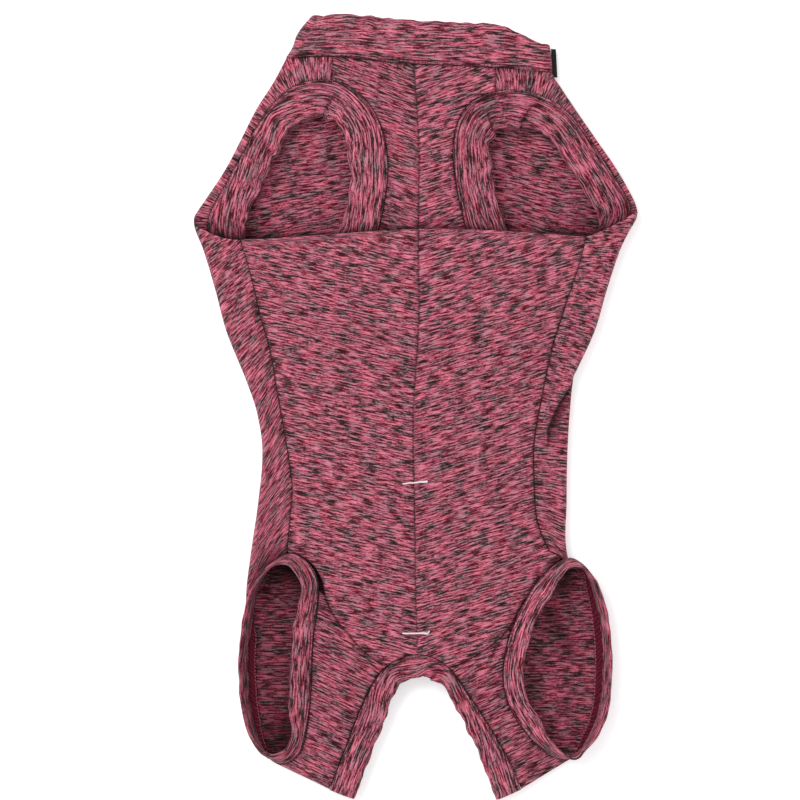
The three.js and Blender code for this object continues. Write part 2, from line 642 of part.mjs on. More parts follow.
function bellyPanel(side) {
  const towardsCentre = side === "left" ? SEAM_GAP / 2 : -SEAM_GAP / 2;
  const { seamFrom, seamTo } = SIDE_PANEL[side];
  const groin = stretch(groinEdge(side), 1, 0, GROIN_STEPS);
  const seam = Array.from({ length: BELLY_STEPS }, (_, i) => {
    const at = mix(seamTo, seamFrom, i / (BELLY_STEPS - 1));
    return new THREE.Vector3(column(SIDE_SEAMS, "at", side, at) * HALF_WIDTH + towardsCentre, lengthwise(at), 0);
  });
  const outer = joined(groin, [null, ...seam]);
  const rear = ARCH[(ARCH.length - 1) / 2].at - SEAM_GAP / SUIT_LENGTH;
  const front = column(FOLD_LINE, "x", "at", 0);
  const inner = outer.map((_, i) => {
    const forward = (i - GROIN_STEPS) / BELLY_STEPS;
    const at = i < GROIN_STEPS ? mix(rear, BELLY_WAIST, i / GROIN_STEPS) : mix(BELLY_WAIST, front, forward);
    return new THREE.Vector3(column(CENTRE_SEAM, "at", "x", at) * HALF_WIDTH - towardsCentre, lengthwise(at), 0);
  });
  const arch = seamCurve(ARCH);
  const steps = 6;
  const upper = ruled([outer, inner], steps);
  upper[0] = offset(stretch(arch, ARCH_CORNERS[side], 0.5, steps), 0).map((point, j) => {
    point.y += SEAM_GAP / 2;
    return j === steps ? point.setX(inner[0].x) : point;
  });
  const visible = upper.slice(0, -1).map((row) => row.map((point) => laid(point, bellyHeight)));
  const frontEdge = upper[upper.length - 1].map((point) => point.x);
  return clothGeometry([...visible, ...pleatRows(frontEdge)], CLOTH);
}

// Rows of the pleat: the front fold, the hidden layer that runs back, and the second fold, which
// brings the cloth forward again to the chest's seam.
function pleatRows(front) {
  const clear = BAND_CLOTH / 2 + LAYER_GAP + CLOTH / 2;
  const end = lengthwise(CHEST_END) - SEAM_GAP;
  const back = end - PLEAT_LAP;
  const turned = (x, y, low, high, angle, depth) => {
    const middle = (low + high) / 2;
    return new THREE.Vector3(x, y + depth * Math.sin(angle), middle + (high - middle) * Math.cos(angle));
  };
  const quarters = [0, 1, 2, 3, 4].map((i) => (Math.PI * i) / 4);
  const depth = clear / 2;
  const frontFold = quarters.map((angle) =>
    front.map((x) => {
      const y = lengthwise(column(FOLD_LINE, "x", "at", x / HALF_WIDTH)) - depth - CLOTH / 2;
      return turned(x, y, chestHeight(x, y) + clear, bellyHeight(x, y), angle, depth);
    }),
  );
  const hidden = [0.35, 0.7].map((t) =>
    front.map((x) => {
      const y = mix(lengthwise(column(FOLD_LINE, "x", "at", x / HALF_WIDTH)), back, t);
      return new THREE.Vector3(x, y, chestHeight(x, y) + clear);
    }),
  );
  const backFold = quarters.map((angle) =>
    front.map((x) => turned(x, back, chestHeight(x, back), chestHeight(x, back) + clear, angle, -depth)),
  );
  const last = front.map((x) => laid(new THREE.Vector3(x, end, 0), chestHeight));
  return [...frontFold, ...hidden, ...backFold, last];
}

// Side panels

function sidePanel(side) {
  const { seamFrom, seamTo, bow } = SIDE_PANEL[side];
  const outwards = side === "left" ? -SEAM_GAP / 2 : SEAM_GAP / 2;
  const grid = sideStations(side).map((at, i) => {
    const along = i / SIDE_STEPS;
    const seamAt = mix(seamFrom, seamTo, along);
    const x = column(SIDE_SEAMS, "at", side, seamAt) * HALF_WIDTH + outwards;
    const seam = new THREE.Vector3(x, lengthwise(seamAt), 0);
    const under = insideFold(side, at, UNDER_LAP);
    return wrappedRow(seam, foldPoint(side, at), under, bellyHeight, bow * SUIT_LENGTH * along ** 6);
  });
  return clothGeometry(grid, CLOTH);
}

// Rear opening

// Point beside the rear band's sewn edge, at a distance into the opening.
function besideArch(t, distance) {
  const curve = seamCurve(ARCH);
  const tangent = curve.getTangent(t);
  return curve.getPoint(t).addScaledVector(new THREE.Vector3(tangent.y, -tangent.x, 0), distance);
}

// The hem's fold at one end of the arch, from the upper layer to the lower one.
function archTurn(end, distance, high, low) {
  const curve = seamCurve(ARCH);
  const beyond = curve.getTangent(end).multiplyScalar(end ? 1 : -1);
  const foot = besideArch(end, distance);
  return [0, 1, 2, 3, 4].map((i) => {
    const angle = Math.PI * (i / 4);
    const middle = (high + low) / 2;
    const point = foot.clone().addScaledVector(beyond, FOLD_DEPTH * Math.sin(angle));
    return point.setZ(middle + (high - middle) * Math.cos(angle));
  });
}

function rearBand() {
  const steps = 22;
  const lower = BAND_CLOTH / 2;
  const line = (share) => {
    const distance = (t) => SEAM_GAP / 2 + share * REAR_BAND * column(ARCH_WIDTHS, "t", "band", t);
    const upper = Array.from({ length: steps + 1 }, (_, i) =>
      laid(besideArch(i / steps, distance(i / steps)), bellyHeight),
    );
    const right = archTurn(1, distance(1), upper[steps].z, lower);
    const left = archTurn(0, distance(0), upper[0].z, lower).reverse();
    const under = upper.map((point) => point.clone().setZ(lower)).reverse();
    return [...upper, ...right.slice(1, -1), ...under, ...left.slice(1, -1)];
  };
  const edges = [0, 0.5, 1].map(line);
  return clothGeometry(edges[0].map((_, i) => edges.map((edge) => edge[i])), BAND_CLOTH, true);
}

// Hind legs

// Point of a leg's loop, a small distance outside it, at its own height.
function legPoint(side, index, gap) {
  const rows = LEG_LOOPS[side];
  const points = rows.map((row) => place(row, UNDER + row.rise * LEG_RISE));
  const point = new THREE.CatmullRomCurve3(points, true, "centripetal").getPoint(index / rows.length);
  return point.addScaledVector(towardsMiddle(LEG_MIDDLES[side], point), -gap);
}

function legBand(side) {
  const rows = LEG_LOOPS[side];
  const steps = rows.length * 2;
  const grid = Array.from({ length: steps }, (_, i) => {
    const seam = legPoint(side, i / 2, 0);
    const lean = THREE.MathUtils.degToRad(around(rows, "lean", i / 2));
    const direction = towardsMiddle(LEG_MIDDLES[side], seam).multiplyScalar(Math.cos(lean));
    direction.addScaledVector(UP, Math.sin(lean));
    const start = SEAM_GAP / 2 + Math.abs(Math.sin(lean)) * (CLOTH / 2 + SEAM_GAP);
    return [0, 0.5, 1].map((t) => seam.clone().addScaledVector(direction, start + t * LEG_BAND));
  });
  return clothGeometry(grid, BAND_CLOTH, true);
}

function sleeve(side) {
  const marks = SLEEVE_MARKS[side];
  const corner = ARCH_CORNERS[side];
  const hem = side === "left" ? 0 : 1;
  const beside = (from, to, steps) =>
    Array.from({ length: steps + 1 }, (_, i) => legPoint(side, mix(from, to, i / steps), SEAM_GAP / 2));
  const cuff = joined(
    beside(marks.start, marks.corner, 6),
    beside(marks.corner, marks.foldFrom, 6),
    beside(marks.foldFrom, marks.foldTo, 4),
    beside(marks.foldTo, marks.archTo, 6),
    beside(marks.archTo, marks.end, 6),
  );
  const groinSteps = GROINS[side].length - 1;
  const way = side === "left" ? -SEAM_GAP : SEAM_GAP;
  const groin = offset(stretch(groinEdge(side), marks.groinFrom / groinSteps, 1, 6), way).map((point) =>
    point.setZ(bellyHeight(point.x, point.y) - GROIN_DIP),
  );
  const arch = (from, to, steps, height) =>
    Array.from({ length: steps + 1 }, (_, i) => {
      const point = besideArch(mix(from, to, i / steps), -SEAM_GAP / 2);
      return point.setZ(height(point.x, point.y));
    });
  const upper = arch(corner, hem, 6, bellyHeight);
  const turn = archTurn(hem, -SEAM_GAP / 2, upper[6].z, UNDER);
  const under = arch(hem, corner, 6, () => UNDER);
  const end = place(LOWER_CORNERS[side], UNDER);
  const lowerSeam = Array.from({ length: 6 }, (_, i) => under[6].clone().lerp(end, i / 5));
  const atFold = place({ x: marks.foldX, at: LOWER_CORNERS[side].at }, UNDER);
  const root = joined(groin, [null, ...upper.slice(1)], turn, under, lowerSeam, [null, atFold]);
  return clothGeometry(ruled([root, cuff], 3), CLOTH);
}

// Lower layer

function backPanel() {
  const edge = (side) => {
    const inner = side === "left" ? SEAM_GAP : -SEAM_GAP;
    const stations = [...shoulderStations(side), ...sideStations(side)];
    const down = stations.map((at) => insideFold(side, at, UNDER_LAP).add(new THREE.Vector3(inner, 0, 0)));
    const corner = besideArch(ARCH_CORNERS[side], -SEAM_GAP / 2).setZ(UNDER);
    const lower = place(LOWER_CORNERS[side], UNDER).lerp(corner, 0);
    const seam = [0, 1, 2, 3, 4].map((i) => lower.clone().lerp(corner, i / 4));
    seam.forEach((point) => point.add(new THREE.Vector3(inner, SEAM_GAP, 0)));
    return joined(down, [null, ...seam]);
  };
  const left = edge("left");
  const right = edge("right");
  const top = collarSeamAt(0);
  const middle = left.map((_, i) => {
    const at = mix(top, ARCH[6].at, i / (left.length - 1));
    return new THREE.Vector3(0, lengthwise(at) - (i ? 0 : SEAM_GAP), UNDER);
  });
  const steps = 3;
  const grid = ruled([left, middle, right], steps);
  grid[0].forEach((point) => point.setY(lengthwise(collarSeamAt(point.x)) - SEAM_GAP));
  const last = grid[grid.length - 1];
  last.forEach((point, j) => {
    const t = mix(ARCH_CORNERS.left, ARCH_CORNERS.right, j / (2 * steps));
    point.copy(besideArch(t, -SEAM_GAP / 2)).setZ(UNDER);
  });
  return clothGeometry(grid, CLOTH);
}

// Assembly

const knit = () => new THREE.MeshStandardMaterial({ color: 0x9c4760, roughness: 0.92, metalness: 0 });
const woven = () => new THREE.MeshStandardMaterial({ color: 0x17161a, roughness: 0.8, metalness: 0 });

const suit = new THREE.Group();
function add(name, geometry, material) {
  const mesh = new THREE.Mesh(geometry, material);
  mesh.name = name;
  suit.add(mesh);
}

add("collar", collarRing(), knit());
add("label_tab", labelTab(), woven());
add("back_panel", backPanel(), knit());
add("rear_band", rearBand(), knit());
for (const side of SIDES) {
  add(`chest_${side}`, chestPanel(side), knit());
  add(`shoulder_${side}`, shoulderPanel(side), knit());
  add(`arm_band_${side}`, armBand(side), knit());
  add(`belly_${side}`, bellyPanel(side), knit());
  add(`side_panel_${side}`, sidePanel(side), knit());
  add(`leg_sleeve_${side}`, sleeve(side), knit());
  add(`leg_band_${side}`, legBand(side), knit());
}

// The middle of the whole outline in plan is the origin.
const centre = new THREE.Box3().setFromObject(suit).getCenter(new THREE.Vector3());
suit.children.forEach((mesh) => mesh.geometry.translate(-centre.x, -centre.y, 0));

export default suit;
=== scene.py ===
"""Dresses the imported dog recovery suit: melange jersey panels, doubled bands, seams, tacks and the label tab.

Lengths in this file are millimetres until a mesh is finished, and places along and across the suit are shares
of its length and half width, as a pattern cutter would mark them on the laid garment.
"""

import logging
import math
from bisect import bisect_right
from dataclasses import dataclass, field
from enum import Enum, IntEnum
from typing import Callable, Iterable, NamedTuple, Protocol, Sequence

import bmesh
import bpy
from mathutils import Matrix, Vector, kdtree, noise


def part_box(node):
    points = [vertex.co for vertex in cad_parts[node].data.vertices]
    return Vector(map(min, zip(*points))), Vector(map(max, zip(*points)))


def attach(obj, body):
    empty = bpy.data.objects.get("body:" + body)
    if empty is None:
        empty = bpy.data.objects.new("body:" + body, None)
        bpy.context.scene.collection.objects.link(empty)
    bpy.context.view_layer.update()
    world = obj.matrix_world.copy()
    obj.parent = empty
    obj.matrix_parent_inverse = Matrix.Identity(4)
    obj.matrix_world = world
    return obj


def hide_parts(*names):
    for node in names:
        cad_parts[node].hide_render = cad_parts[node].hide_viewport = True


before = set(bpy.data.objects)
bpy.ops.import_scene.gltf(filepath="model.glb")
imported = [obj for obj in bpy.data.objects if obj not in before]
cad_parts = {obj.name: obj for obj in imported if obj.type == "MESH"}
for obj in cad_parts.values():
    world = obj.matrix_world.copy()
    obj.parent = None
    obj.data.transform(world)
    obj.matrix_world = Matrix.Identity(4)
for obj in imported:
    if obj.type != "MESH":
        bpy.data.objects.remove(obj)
log = logging.getLogger("recovery_suit")

MM = 0.001
LENGTH = 485.0
HALF_WIDTH = 137.5
CENTRE = Vector((-0.02, 1.2, 0.0))  # from the pattern's middle to the middle of the laid suit's outline

# Thicknesses of the cloth, and the heights kept for a sheet, a doubled band and the air between layers.
JERSEY = 1.0
BAND_LAYER = 0.8
CLOTH_ROOM = 1.4
BAND_ROOM = 2.6
LAYER_GAP = 0.8

# Gaps beside a seam, for a hidden edge and for one that shows.
SEAM_GAP = 0.6
SEWN_GAP = 0.16

# Heights of the upper layer over the surface, and of the lower layer's middle.
SIDE_RISE = 6.5
CROWN_RISE = 13.0
LEG_RISE = 16.0
UNDER = CLOTH_ROOM / 2
PLEAT_STACK = BAND_ROOM / 2 + CLOTH_ROOM * 1.5 + LAYER_GAP * 3

# Names of the sheets' layers (grain, distance to a seam, and the painted shade of the outer and inner faces), and the
# distance from a seam at which none of its painted shade shows.
GRAIN = "Grain"
SEAM = "Seam"
SHADE = "Shade"
INNER_SHADE = "Inner shade"
FAR = 40.0

# Shares of a flat ring's round: its upper run, the turn at a fold, and where the lower run starts and ends.
RING_RUN = 0.45
RING_TURN = 0.05
LOWER_START = 0.5
LOWER_END = 0.95

# Steps down the chest's outer edge, those of them beside the collar, and the loop's rows where it ends.
EDGE_STEPS = 16
COLLAR_STEPS = 2
CHEST_LAST = 7
SHOULDER_LAST = 10.6
CHEST_END = 0.364

# Each piece's own place in the dye pattern, so that no two pieces show the same streaks.
CHEST_DYE = 400
SIDE_DYE = 700
SHOULDER_DYE = 1400
BELLY_DYE = 2100
SLEEVE_DYE = 2900
INNER_LEG_DYE = 3100
BACK_DYE = 3600


class Side(Enum):
    """Left or right as the photograph shows the suit."""

    LEFT = "left"
    RIGHT = "right"

    @property
    def sign(self) -> int:
        """-1 on the left and 1 on the right."""
        return -1 if self is Side.LEFT else 1


class RingPart(Enum):
    """Parts of a band that lies as a flat ring, in the order in which they follow each other."""

    UPPER = "upper run"
    RIGHT_TURN = "turn at the right"
    LOWER = "lower run"
    LEFT_TURN = "turn at the left"


class SleeveRow(IntEnum):
    """Rows of a hind leg's sleeve at which its root passes from one line to the next."""

    GROIN = 0
    ARCH = 6
    HEM = 12
    LOWER = 16
    CORNER = 22
    SIDE = 27
    END = 28


class Lay(Enum):
    """How a sheet of cloth is held."""

    LAID = "laid"
    FOLDED = "folded"
    STRETCHED = "stretched"


# Tables of the laid suit. In each, at is a share of the length from the neck, and x, left and right are
# shares of half the width from the middle. A table's kind of row names its columns.


class FoldRow(NamedTuple):
    """Where the two side folds lie."""

    at: float
    left: float
    right: float


class HeightRow(NamedTuple):
    """Heights of the upper layer: shares of the side's and the crown's rise, and of the pleat's layers."""

    at: float
    side: float
    crown: float
    stack: float


class SpotRow(NamedTuple):
    """A point of a line on the suit."""

    x: float
    at: float


class BandRow(NamedTuple):
    """A point of a band's sewn edge, with the band's width there as a share."""

    x: float
    at: float
    band: float


class LegRow(NamedTuple):
    """A point of a hind leg band's sewn edge, its rise as a share and the band's lean in degrees."""

    x: float
    at: float
    rise: float
    lean: float


class CreaseRow(NamedTuple):
    """A soft fold or dent along a line, with its height and half breadth as shares."""

    x: float
    at: float
    to_x: float
    to_at: float
    height: float
    breadth: float


class CollarRow(NamedTuple):
    """The collar's seam and free rim at a share across the neck."""

    x: float
    seam: float
    rim: float


class PairRow(NamedTuple):
    """Two shares that belong together."""

    first: float
    second: float


class PleatShares(NamedTuple):
    """Shares along a belly half at which its stretches end, from the groin to the second fold of the pleat."""

    groin: float
    front: float
    front_fold: float
    hidden: float
    second_fold: float


@dataclass(frozen=True)
class SideCut:
    """What differs between the suit's two sides: places as in the tables, millimetres, and shares of the light."""

    shoulder_x: float
    shoulder_end: float
    shoulder_turn: float
    chest_slope: float
    belly_slope: float
    seam_ends: tuple[float, float]
    fold_ends: tuple[float, float]
    back_front: float
    back_ends: tuple[float, float]
    rear_bow: float
    front_bow: float
    slopes: tuple[float, float]
    slope_span: tuple[float, float]
    arm_laps: tuple[float, float]
    sleeve_marks: tuple[float, ...]
    groin_from: int
    sleeve_x: float
    overlock: tuple[float, float]
    side_dark: float
    sleeve_dark: float
    leg_light: float
    chest_lit: float
    arm_lit: float
    side_lit: float
    sleeve_lit: float
    hem_lit: float


def table(kind: type[NamedTuple], *cells: tuple[float, ...]) -> tuple[NamedTuple, ...]:
    """A table whose rows are all of one kind, which names their columns."""
    return tuple(kind(*values) for values in cells)


OUTLINE = table(
    FoldRow,
    (0.0, -0.455, 0.58), (0.02, -0.508, 0.594), (0.0403, -0.553, 0.602), (0.056, -0.583, 0.608),
    (0.077, -0.622, 0.62), (0.09, -0.648, 0.648), (0.121, -0.718, 0.721), (0.159, -0.786, 0.813),
    (0.198, -0.858, 0.908), (0.236, -0.946, 0.983), (0.25, -0.98, 1.0), (0.258, -0.997, 0.998),
    (0.266, -1.0, 0.985), (0.277, -0.99, 0.962), (0.3, -0.957, 0.923), (0.351, -0.903, 0.863),
    (0.403, -0.854, 0.809), (0.454, -0.782, 0.727), (0.462, -0.77, 0.713), (0.505, -0.718, 0.697),
    (0.556, -0.691, 0.686), (0.62, -0.709, 0.682), (0.692, -0.745, 0.687), (0.742, -0.764, 0.786),
    (1.0, -0.764, 0.83),
)
HEIGHTS = table(
    HeightRow,
    (0.0, 1.0, 0.85, 1.0), (0.1, 0.95, 0.8, 1.0), (0.25, 1.0, 0.85, 1.0), (0.36, 1.0, 0.9, 1.0),
    (0.42, 1.05, 0.98, 0.9), (0.52, 1.1, 1.1, 0.3), (0.62, 1.15, 1.1, 0.1), (0.7, 1.3, 1.1, 0.0),
    (0.82, 1.3, 1.0, 0.0), (0.92, 1.1, 0.75, 0.0), (1.0, 0.9, 0.65, 0.0),
)
CREASES = table(
    CreaseRow,
    (-0.72, 0.548, -0.56, 0.575, 0.14, 0.05), (-0.69, 0.575, -0.57, 0.6, -0.1, 0.05),
    (0.25, 0.425, -0.02, 0.47, -0.14, 0.09), (-0.3, 0.44, -0.02, 0.47, -0.12, 0.08),
    (0.5, 0.36, 0.1, 0.4, 0.06, 0.1), (-0.5, 0.37, -0.1, 0.4, 0.05, 0.1), (-0.3, 0.72, -0.15, 0.8, -0.1, 0.09),
    (0.33, 0.74, 0.2, 0.81, -0.1, 0.09),
)
# Lines of painted shade inside the hind legs; in these rows height is the share of light taken away, not a height.
LEG_SHADE_LINES = table(
    CreaseRow,
    (0.583, 0.753, 0.696, 0.813, 0.62, 0.034), (0.69, 0.705, 0.665, 0.73, 0.85, 0.04),
    (-0.6, 0.7, -0.47, 0.72, 0.84, 0.085), (-0.45, 0.72, -0.5, 0.94, 0.7, 0.045),
    (-0.56, 0.92, -0.64, 0.95, 0.65, 0.12),
)
TUCK = table(
    SpotRow,
    (0.723, 0.455), (0.691, 0.474), (0.646, 0.493), (0.61, 0.5125), (0.586, 0.53),
)
FOLD_LINE = table(
    SpotRow,
    (-1.0, 0.266), (-0.9, 0.282), (-0.786, 0.287), (-0.5, 0.283), (-0.2, 0.277), (0.02, 0.274), (0.3, 0.275),
    (0.6, 0.28), (0.764, 0.283), (0.84, 0.277), (0.92, 0.269), (1.0, 0.251),
)
CENTRE_SEAM = table(
    SpotRow,
    (-0.007, 0.06), (0.016, 0.17), (0.013, 0.28), (0.016, 0.39), (-0.009, 0.51), (-0.002, 0.66), (0.002, 0.82),
)
SIDE_SEAMS = table(
    FoldRow,
    (0.287, -0.786, 0.764), (0.326, -0.745, 0.727), (0.385, -0.696, 0.658), (0.431, -0.651, 0.61),
    (0.492, -0.615, 0.565), (0.55, -0.579, 0.532), (0.601, -0.554, 0.534), (0.646, -0.565, 0.547),
    (0.687, -0.577, 0.605),
)
COLLAR = table(
    CollarRow,
    (-1.0, 0.056, 0.006), (-0.88, 0.0545, 0.001), (-0.6, 0.0545, 0.003), (-0.2, 0.062, 0.009), (0.2, 0.065, 0.012),
    (0.6, 0.068, 0.015), (1.0, 0.074, 0.038),
)
ARM_LOOPS = {
    Side.LEFT: table(
        BandRow,
        (-0.372, 0.0845, 0.96), (-0.245, 0.103, 1.0), (-0.16, 0.139, 1.0), (-0.124, 0.191, 1.05),
        (-0.146, 0.249, 1.05), (-0.2, 0.3, 1.0), (-0.309, 0.34, 1.0), (-0.493, 0.358, 1.0), (-0.69, 0.355, 1.0),
        (-0.85, 0.333, 1.0), (-0.925, 0.3, 1.0), (-0.932, 0.262, 0.98), (-0.865, 0.223, 0.9), (-0.77, 0.173, 0.8),
        (-0.67, 0.124, 0.76), (-0.54, 0.091, 0.92),
    ),
    Side.RIGHT: table(
        BandRow,
        (0.362, 0.0985, 1.0), (0.236, 0.116, 1.0), (0.178, 0.149, 0.98), (0.171, 0.191, 1.0), (0.2, 0.242, 1.02),
        (0.255, 0.294, 1.0), (0.354, 0.337, 1.0), (0.53, 0.356, 1.0), (0.714, 0.351, 1.0), (0.845, 0.328, 0.85),
        (0.913, 0.292, 0.6), (0.966, 0.25, 0.88), (0.9, 0.209, 0.9), (0.807, 0.168, 0.88), (0.688, 0.124, 0.86),
        (0.52, 0.0995, 0.94),
    ),
}
ARM_MIDDLES = {
    Side.LEFT: (SpotRow(-0.42, 0.18), SpotRow(-0.64, 0.27)),
    Side.RIGHT: (SpotRow(0.46, 0.185), SpotRow(0.65, 0.27)),
}
SHOULDER_ROWS = table(
    PairRow,
    (0.0, 0.0), (0.1, 0.05), (0.25, 0.18), (0.4, 0.32), (0.58, 0.55), (0.77, 0.77), (0.9, 0.91), (1.0, 1.0),
)
LEG_LOOPS = {
    Side.LEFT: table(
        LegRow,
        (-0.565, 0.688, 0.6, 60), (-0.493, 0.696, 0.85, 35), (-0.441, 0.718, 0.95, 15), (-0.437, 0.748, 1.0, 6),
        (-0.455, 0.784, 1.0, 4), (-0.466, 0.827, 1.0, 4), (-0.473, 0.872, 0.95, 6), (-0.489, 0.912, 0.82, 10),
        (-0.529, 0.944, 0.6, 28), (-0.61, 0.956, 0.28, 55), (-0.687, 0.939, 0.1, 95), (-0.727, 0.904, 0.06, 112),
        (-0.745, 0.863, 0.05, 116), (-0.75, 0.818, 0.05, 116), (-0.736, 0.776, 0.06, 114), (-0.718, 0.74, 0.1, 107),
        (-0.655, 0.704, 0.3, 90),
    ),
    Side.RIGHT: table(
        LegRow,
        (0.685, 0.694, 0.6, 62), (0.606, 0.706, 0.85, 32), (0.534, 0.728, 0.95, 14), (0.475, 0.756, 1.0, 6),
        (0.426, 0.788, 1.0, 4), (0.399, 0.821, 1.0, 4), (0.396, 0.855, 0.98, 6), (0.43, 0.886, 0.9, 10),
        (0.502, 0.917, 0.72, 20), (0.597, 0.943, 0.42, 48), (0.7, 0.948, 0.14, 88), (0.777, 0.923, 0.06, 104),
        (0.822, 0.89, 0.05, 113), (0.836, 0.85, 0.05, 116), (0.836, 0.806, 0.05, 116), (0.82, 0.763, 0.06, 114),
        (0.79, 0.727, 0.12, 105), (0.745, 0.701, 0.32, 84),
    ),
}
LEG_MIDDLES = {
    Side.LEFT: (SpotRow(-0.6, 0.755), SpotRow(-0.6, 0.89)),
    Side.RIGHT: (SpotRow(0.66, 0.75), SpotRow(0.63, 0.88)),
}
GROINS = {
    Side.LEFT: table(
        SpotRow,
        (-0.52, 0.688), (-0.462, 0.701), (-0.418, 0.722), (-0.403, 0.742), (-0.367, 0.765), (-0.3, 0.79),
        (-0.223, 0.814), (-0.133, 0.832),
    ),
    Side.RIGHT: table(
        SpotRow,
        (0.655, 0.693), (0.6, 0.707), (0.53, 0.73), (0.468, 0.757), (0.415, 0.784), (0.335, 0.805), (0.25, 0.82),
        (0.155, 0.834),
    ),
}
LOWER_CORNERS = {Side.LEFT: SpotRow(-0.66, 0.737), Side.RIGHT: SpotRow(0.61, 0.7)}
ARCH = table(
    BandRow,
    (-0.375, 0.98, 1.06), (-0.327, 0.945, 1.03), (-0.245, 0.884, 1.06), (-0.191, 0.853, 0.93),
    (-0.133, 0.832, 0.87), (-0.061, 0.82, 0.94), (0.011, 0.816, 0.95), (0.083, 0.82, 0.81), (0.155, 0.834, 0.64),
    (0.227, 0.862, 0.66), (0.349, 0.916, 0.86), (0.408, 0.945, 0.97), (0.462, 0.98, 1.04),
)
ARCH_CORNERS = {Side.LEFT: 4 / 12, Side.RIGHT: 8 / 12}
ARCH_TOP = ARCH[6].at
CUTS = {
    Side.LEFT: SideCut(
        shoulder_x=-0.372, shoulder_end=0.274, shoulder_turn=4.0, chest_slope=20.0, belly_slope=12.0,
        seam_ends=(0.2885, 0.685), fold_ends=(0.271, 0.76), back_front=0.2645, back_ends=(0.267, 0.741),
        rear_bow=0.011, front_bow=1.9, slopes=(0.1, 0.75), slope_span=(-40, 100), arm_laps=(0.02, 0.845),
        sleeve_marks=(2.6, 5, 8, 10, 12, 15.3), groin_from=3, sleeve_x=-0.755, overlock=(9.6, 14.0),
        side_dark=0.74, sleeve_dark=0.75, leg_light=0.5,
        chest_lit=0.93, arm_lit=1.0, side_lit=0.95, sleeve_lit=0.94, hem_lit=0.9,
    ),
    Side.RIGHT: SideCut(
        shoulder_x=0.362, shoulder_end=0.255, shoulder_turn=2.4, chest_slope=17.0, belly_slope=16.0,
        seam_ends=(0.2845, 0.684), fold_ends=(0.2525, 0.7), back_front=0.25, back_ends=(0.2525, 0.7),
        rear_bow=0.002, front_bow=1.2, slopes=(0.04, 0.48), slope_span=(-25, 15), arm_laps=(0.015, 0.93),
        sleeve_marks=(4, 5.6, 9, 11, 13, 17.9), groin_from=4, sleeve_x=0.69, overlock=(10.2, 16.6),
        side_dark=0.35, sleeve_dark=0.4, leg_light=0.68,
        chest_lit=1.0, arm_lit=0.92, side_lit=1.0, sleeve_lit=0.87, hem_lit=1.06,
    ),
}


def mix(a: float, b: float, t: float) -> float:
    """Value a share t of the way from a to b."""
    return a + (b - a) * t


def clamp(value: float, low: float = 0.0, high: float = 1.0) -> float:
    """Value kept between two limits."""
    return min(max(value, low), high)


def smooth(value: float, low: float, high: float) -> float:
    """0 below low, 1 above high, and an even ease between them."""
    t = clamp((value - low) / (high - low))
    return t * t * (3 - 2 * t)


def bell(distance: float, breadth: float) -> float:
    """1 at no distance, falling away over the breadth."""
    return math.exp(-((distance / breadth) ** 2))


def share_along(start: Vector, line: Vector, point: Vector) -> float:
    """Share of the way along a straight line at which it comes nearest to a point."""
    return clamp((point - start).dot(line) / line.length_squared)


def slanted(x: float, y: float, slope: float, place: float) -> tuple[float, float]:
    """Millimetres along and across courses that fall at a slope, at a place of the dye pattern."""
    return x * math.hypot(1, slope) + place, y - x * slope


def ring_part(u: float) -> tuple[RingPart, float]:
    """Where a share round a flat ring lies.

    Args:
        u: share round the ring.

    Returns:
        The part of the ring, and the share along the band's line on a run or the angle on a turn.
    """
    u %= 1.0
    if u < RING_RUN:
        return RingPart.UPPER, u / RING_RUN
    if u < LOWER_START:
        return RingPart.RIGHT_TURN, math.pi * (u - RING_RUN) / RING_TURN
    if u < LOWER_END:
        return RingPart.LOWER, 1 - (u - LOWER_START) / RING_RUN
    return RingPart.LEFT_TURN, math.pi * (1 - (u - LOWER_END) / RING_TURN)


def round_rows(rows: Sequence[NamedTuple], name: str, u: float) -> float:
    """Value of a closed table's column at a share round it, straight between its rows."""
    index = (u % 1.0) * len(rows)
    low = int(index)
    first, second = (getattr(rows[i % len(rows)], name) for i in (low, low + 1))
    return mix(first, second, index - low)


def lengthwise(at: float) -> float:
    """Millimetres along the suit for a share of its length."""
    return (0.5 - at) * LENGTH


def share_of(y: float) -> float:
    """Share of the length for millimetres along the suit."""
    return 0.5 - y / LENGTH


def spot(row: NamedTuple, z: float = 0.0) -> Vector:
    """Point of a table's row.

    Args:
        row: a row that has x and at.
        z: the point's height.

    Returns:
        The point in millimetres.
    """
    return Vector((row.x * HALF_WIDTH, lengthwise(row.at), z))


class Track:
    """One column of a table, eased between its rows."""

    def __init__(self, rows: Sequence[NamedTuple], key: str, name: str) -> None:
        """Keeps the column.

        Args:
            rows: the table, sorted by its key column.
            key: the key column.
            name: the column that is read.
        """
        self.keys = [getattr(row, key) for row in rows]
        self.values = [getattr(row, name) for row in rows]

    def __call__(self, place: float) -> float:
        """Value at a place of the key column."""
        keys, values = self.keys, self.values
        last = len(keys) - 1
        i = max(1, min(bisect_right(keys, place), last))
        before, after = max(i - 2, 0), min(i + 1, last)
        span = keys[i] - keys[i - 1]
        slope_a = (values[i] - values[before]) / (keys[i] - keys[before]) * span
        slope_b = (values[after] - values[i - 1]) / (keys[after] - keys[i - 1]) * span
        t = clamp((place - keys[i - 1]) / span)
        rise = t * t * (3 - 2 * t)
        bend = t * (1 - t) * ((1 - t) * slope_a - t * slope_b)
        return (1 - rise) * values[i - 1] + rise * values[i] + bend


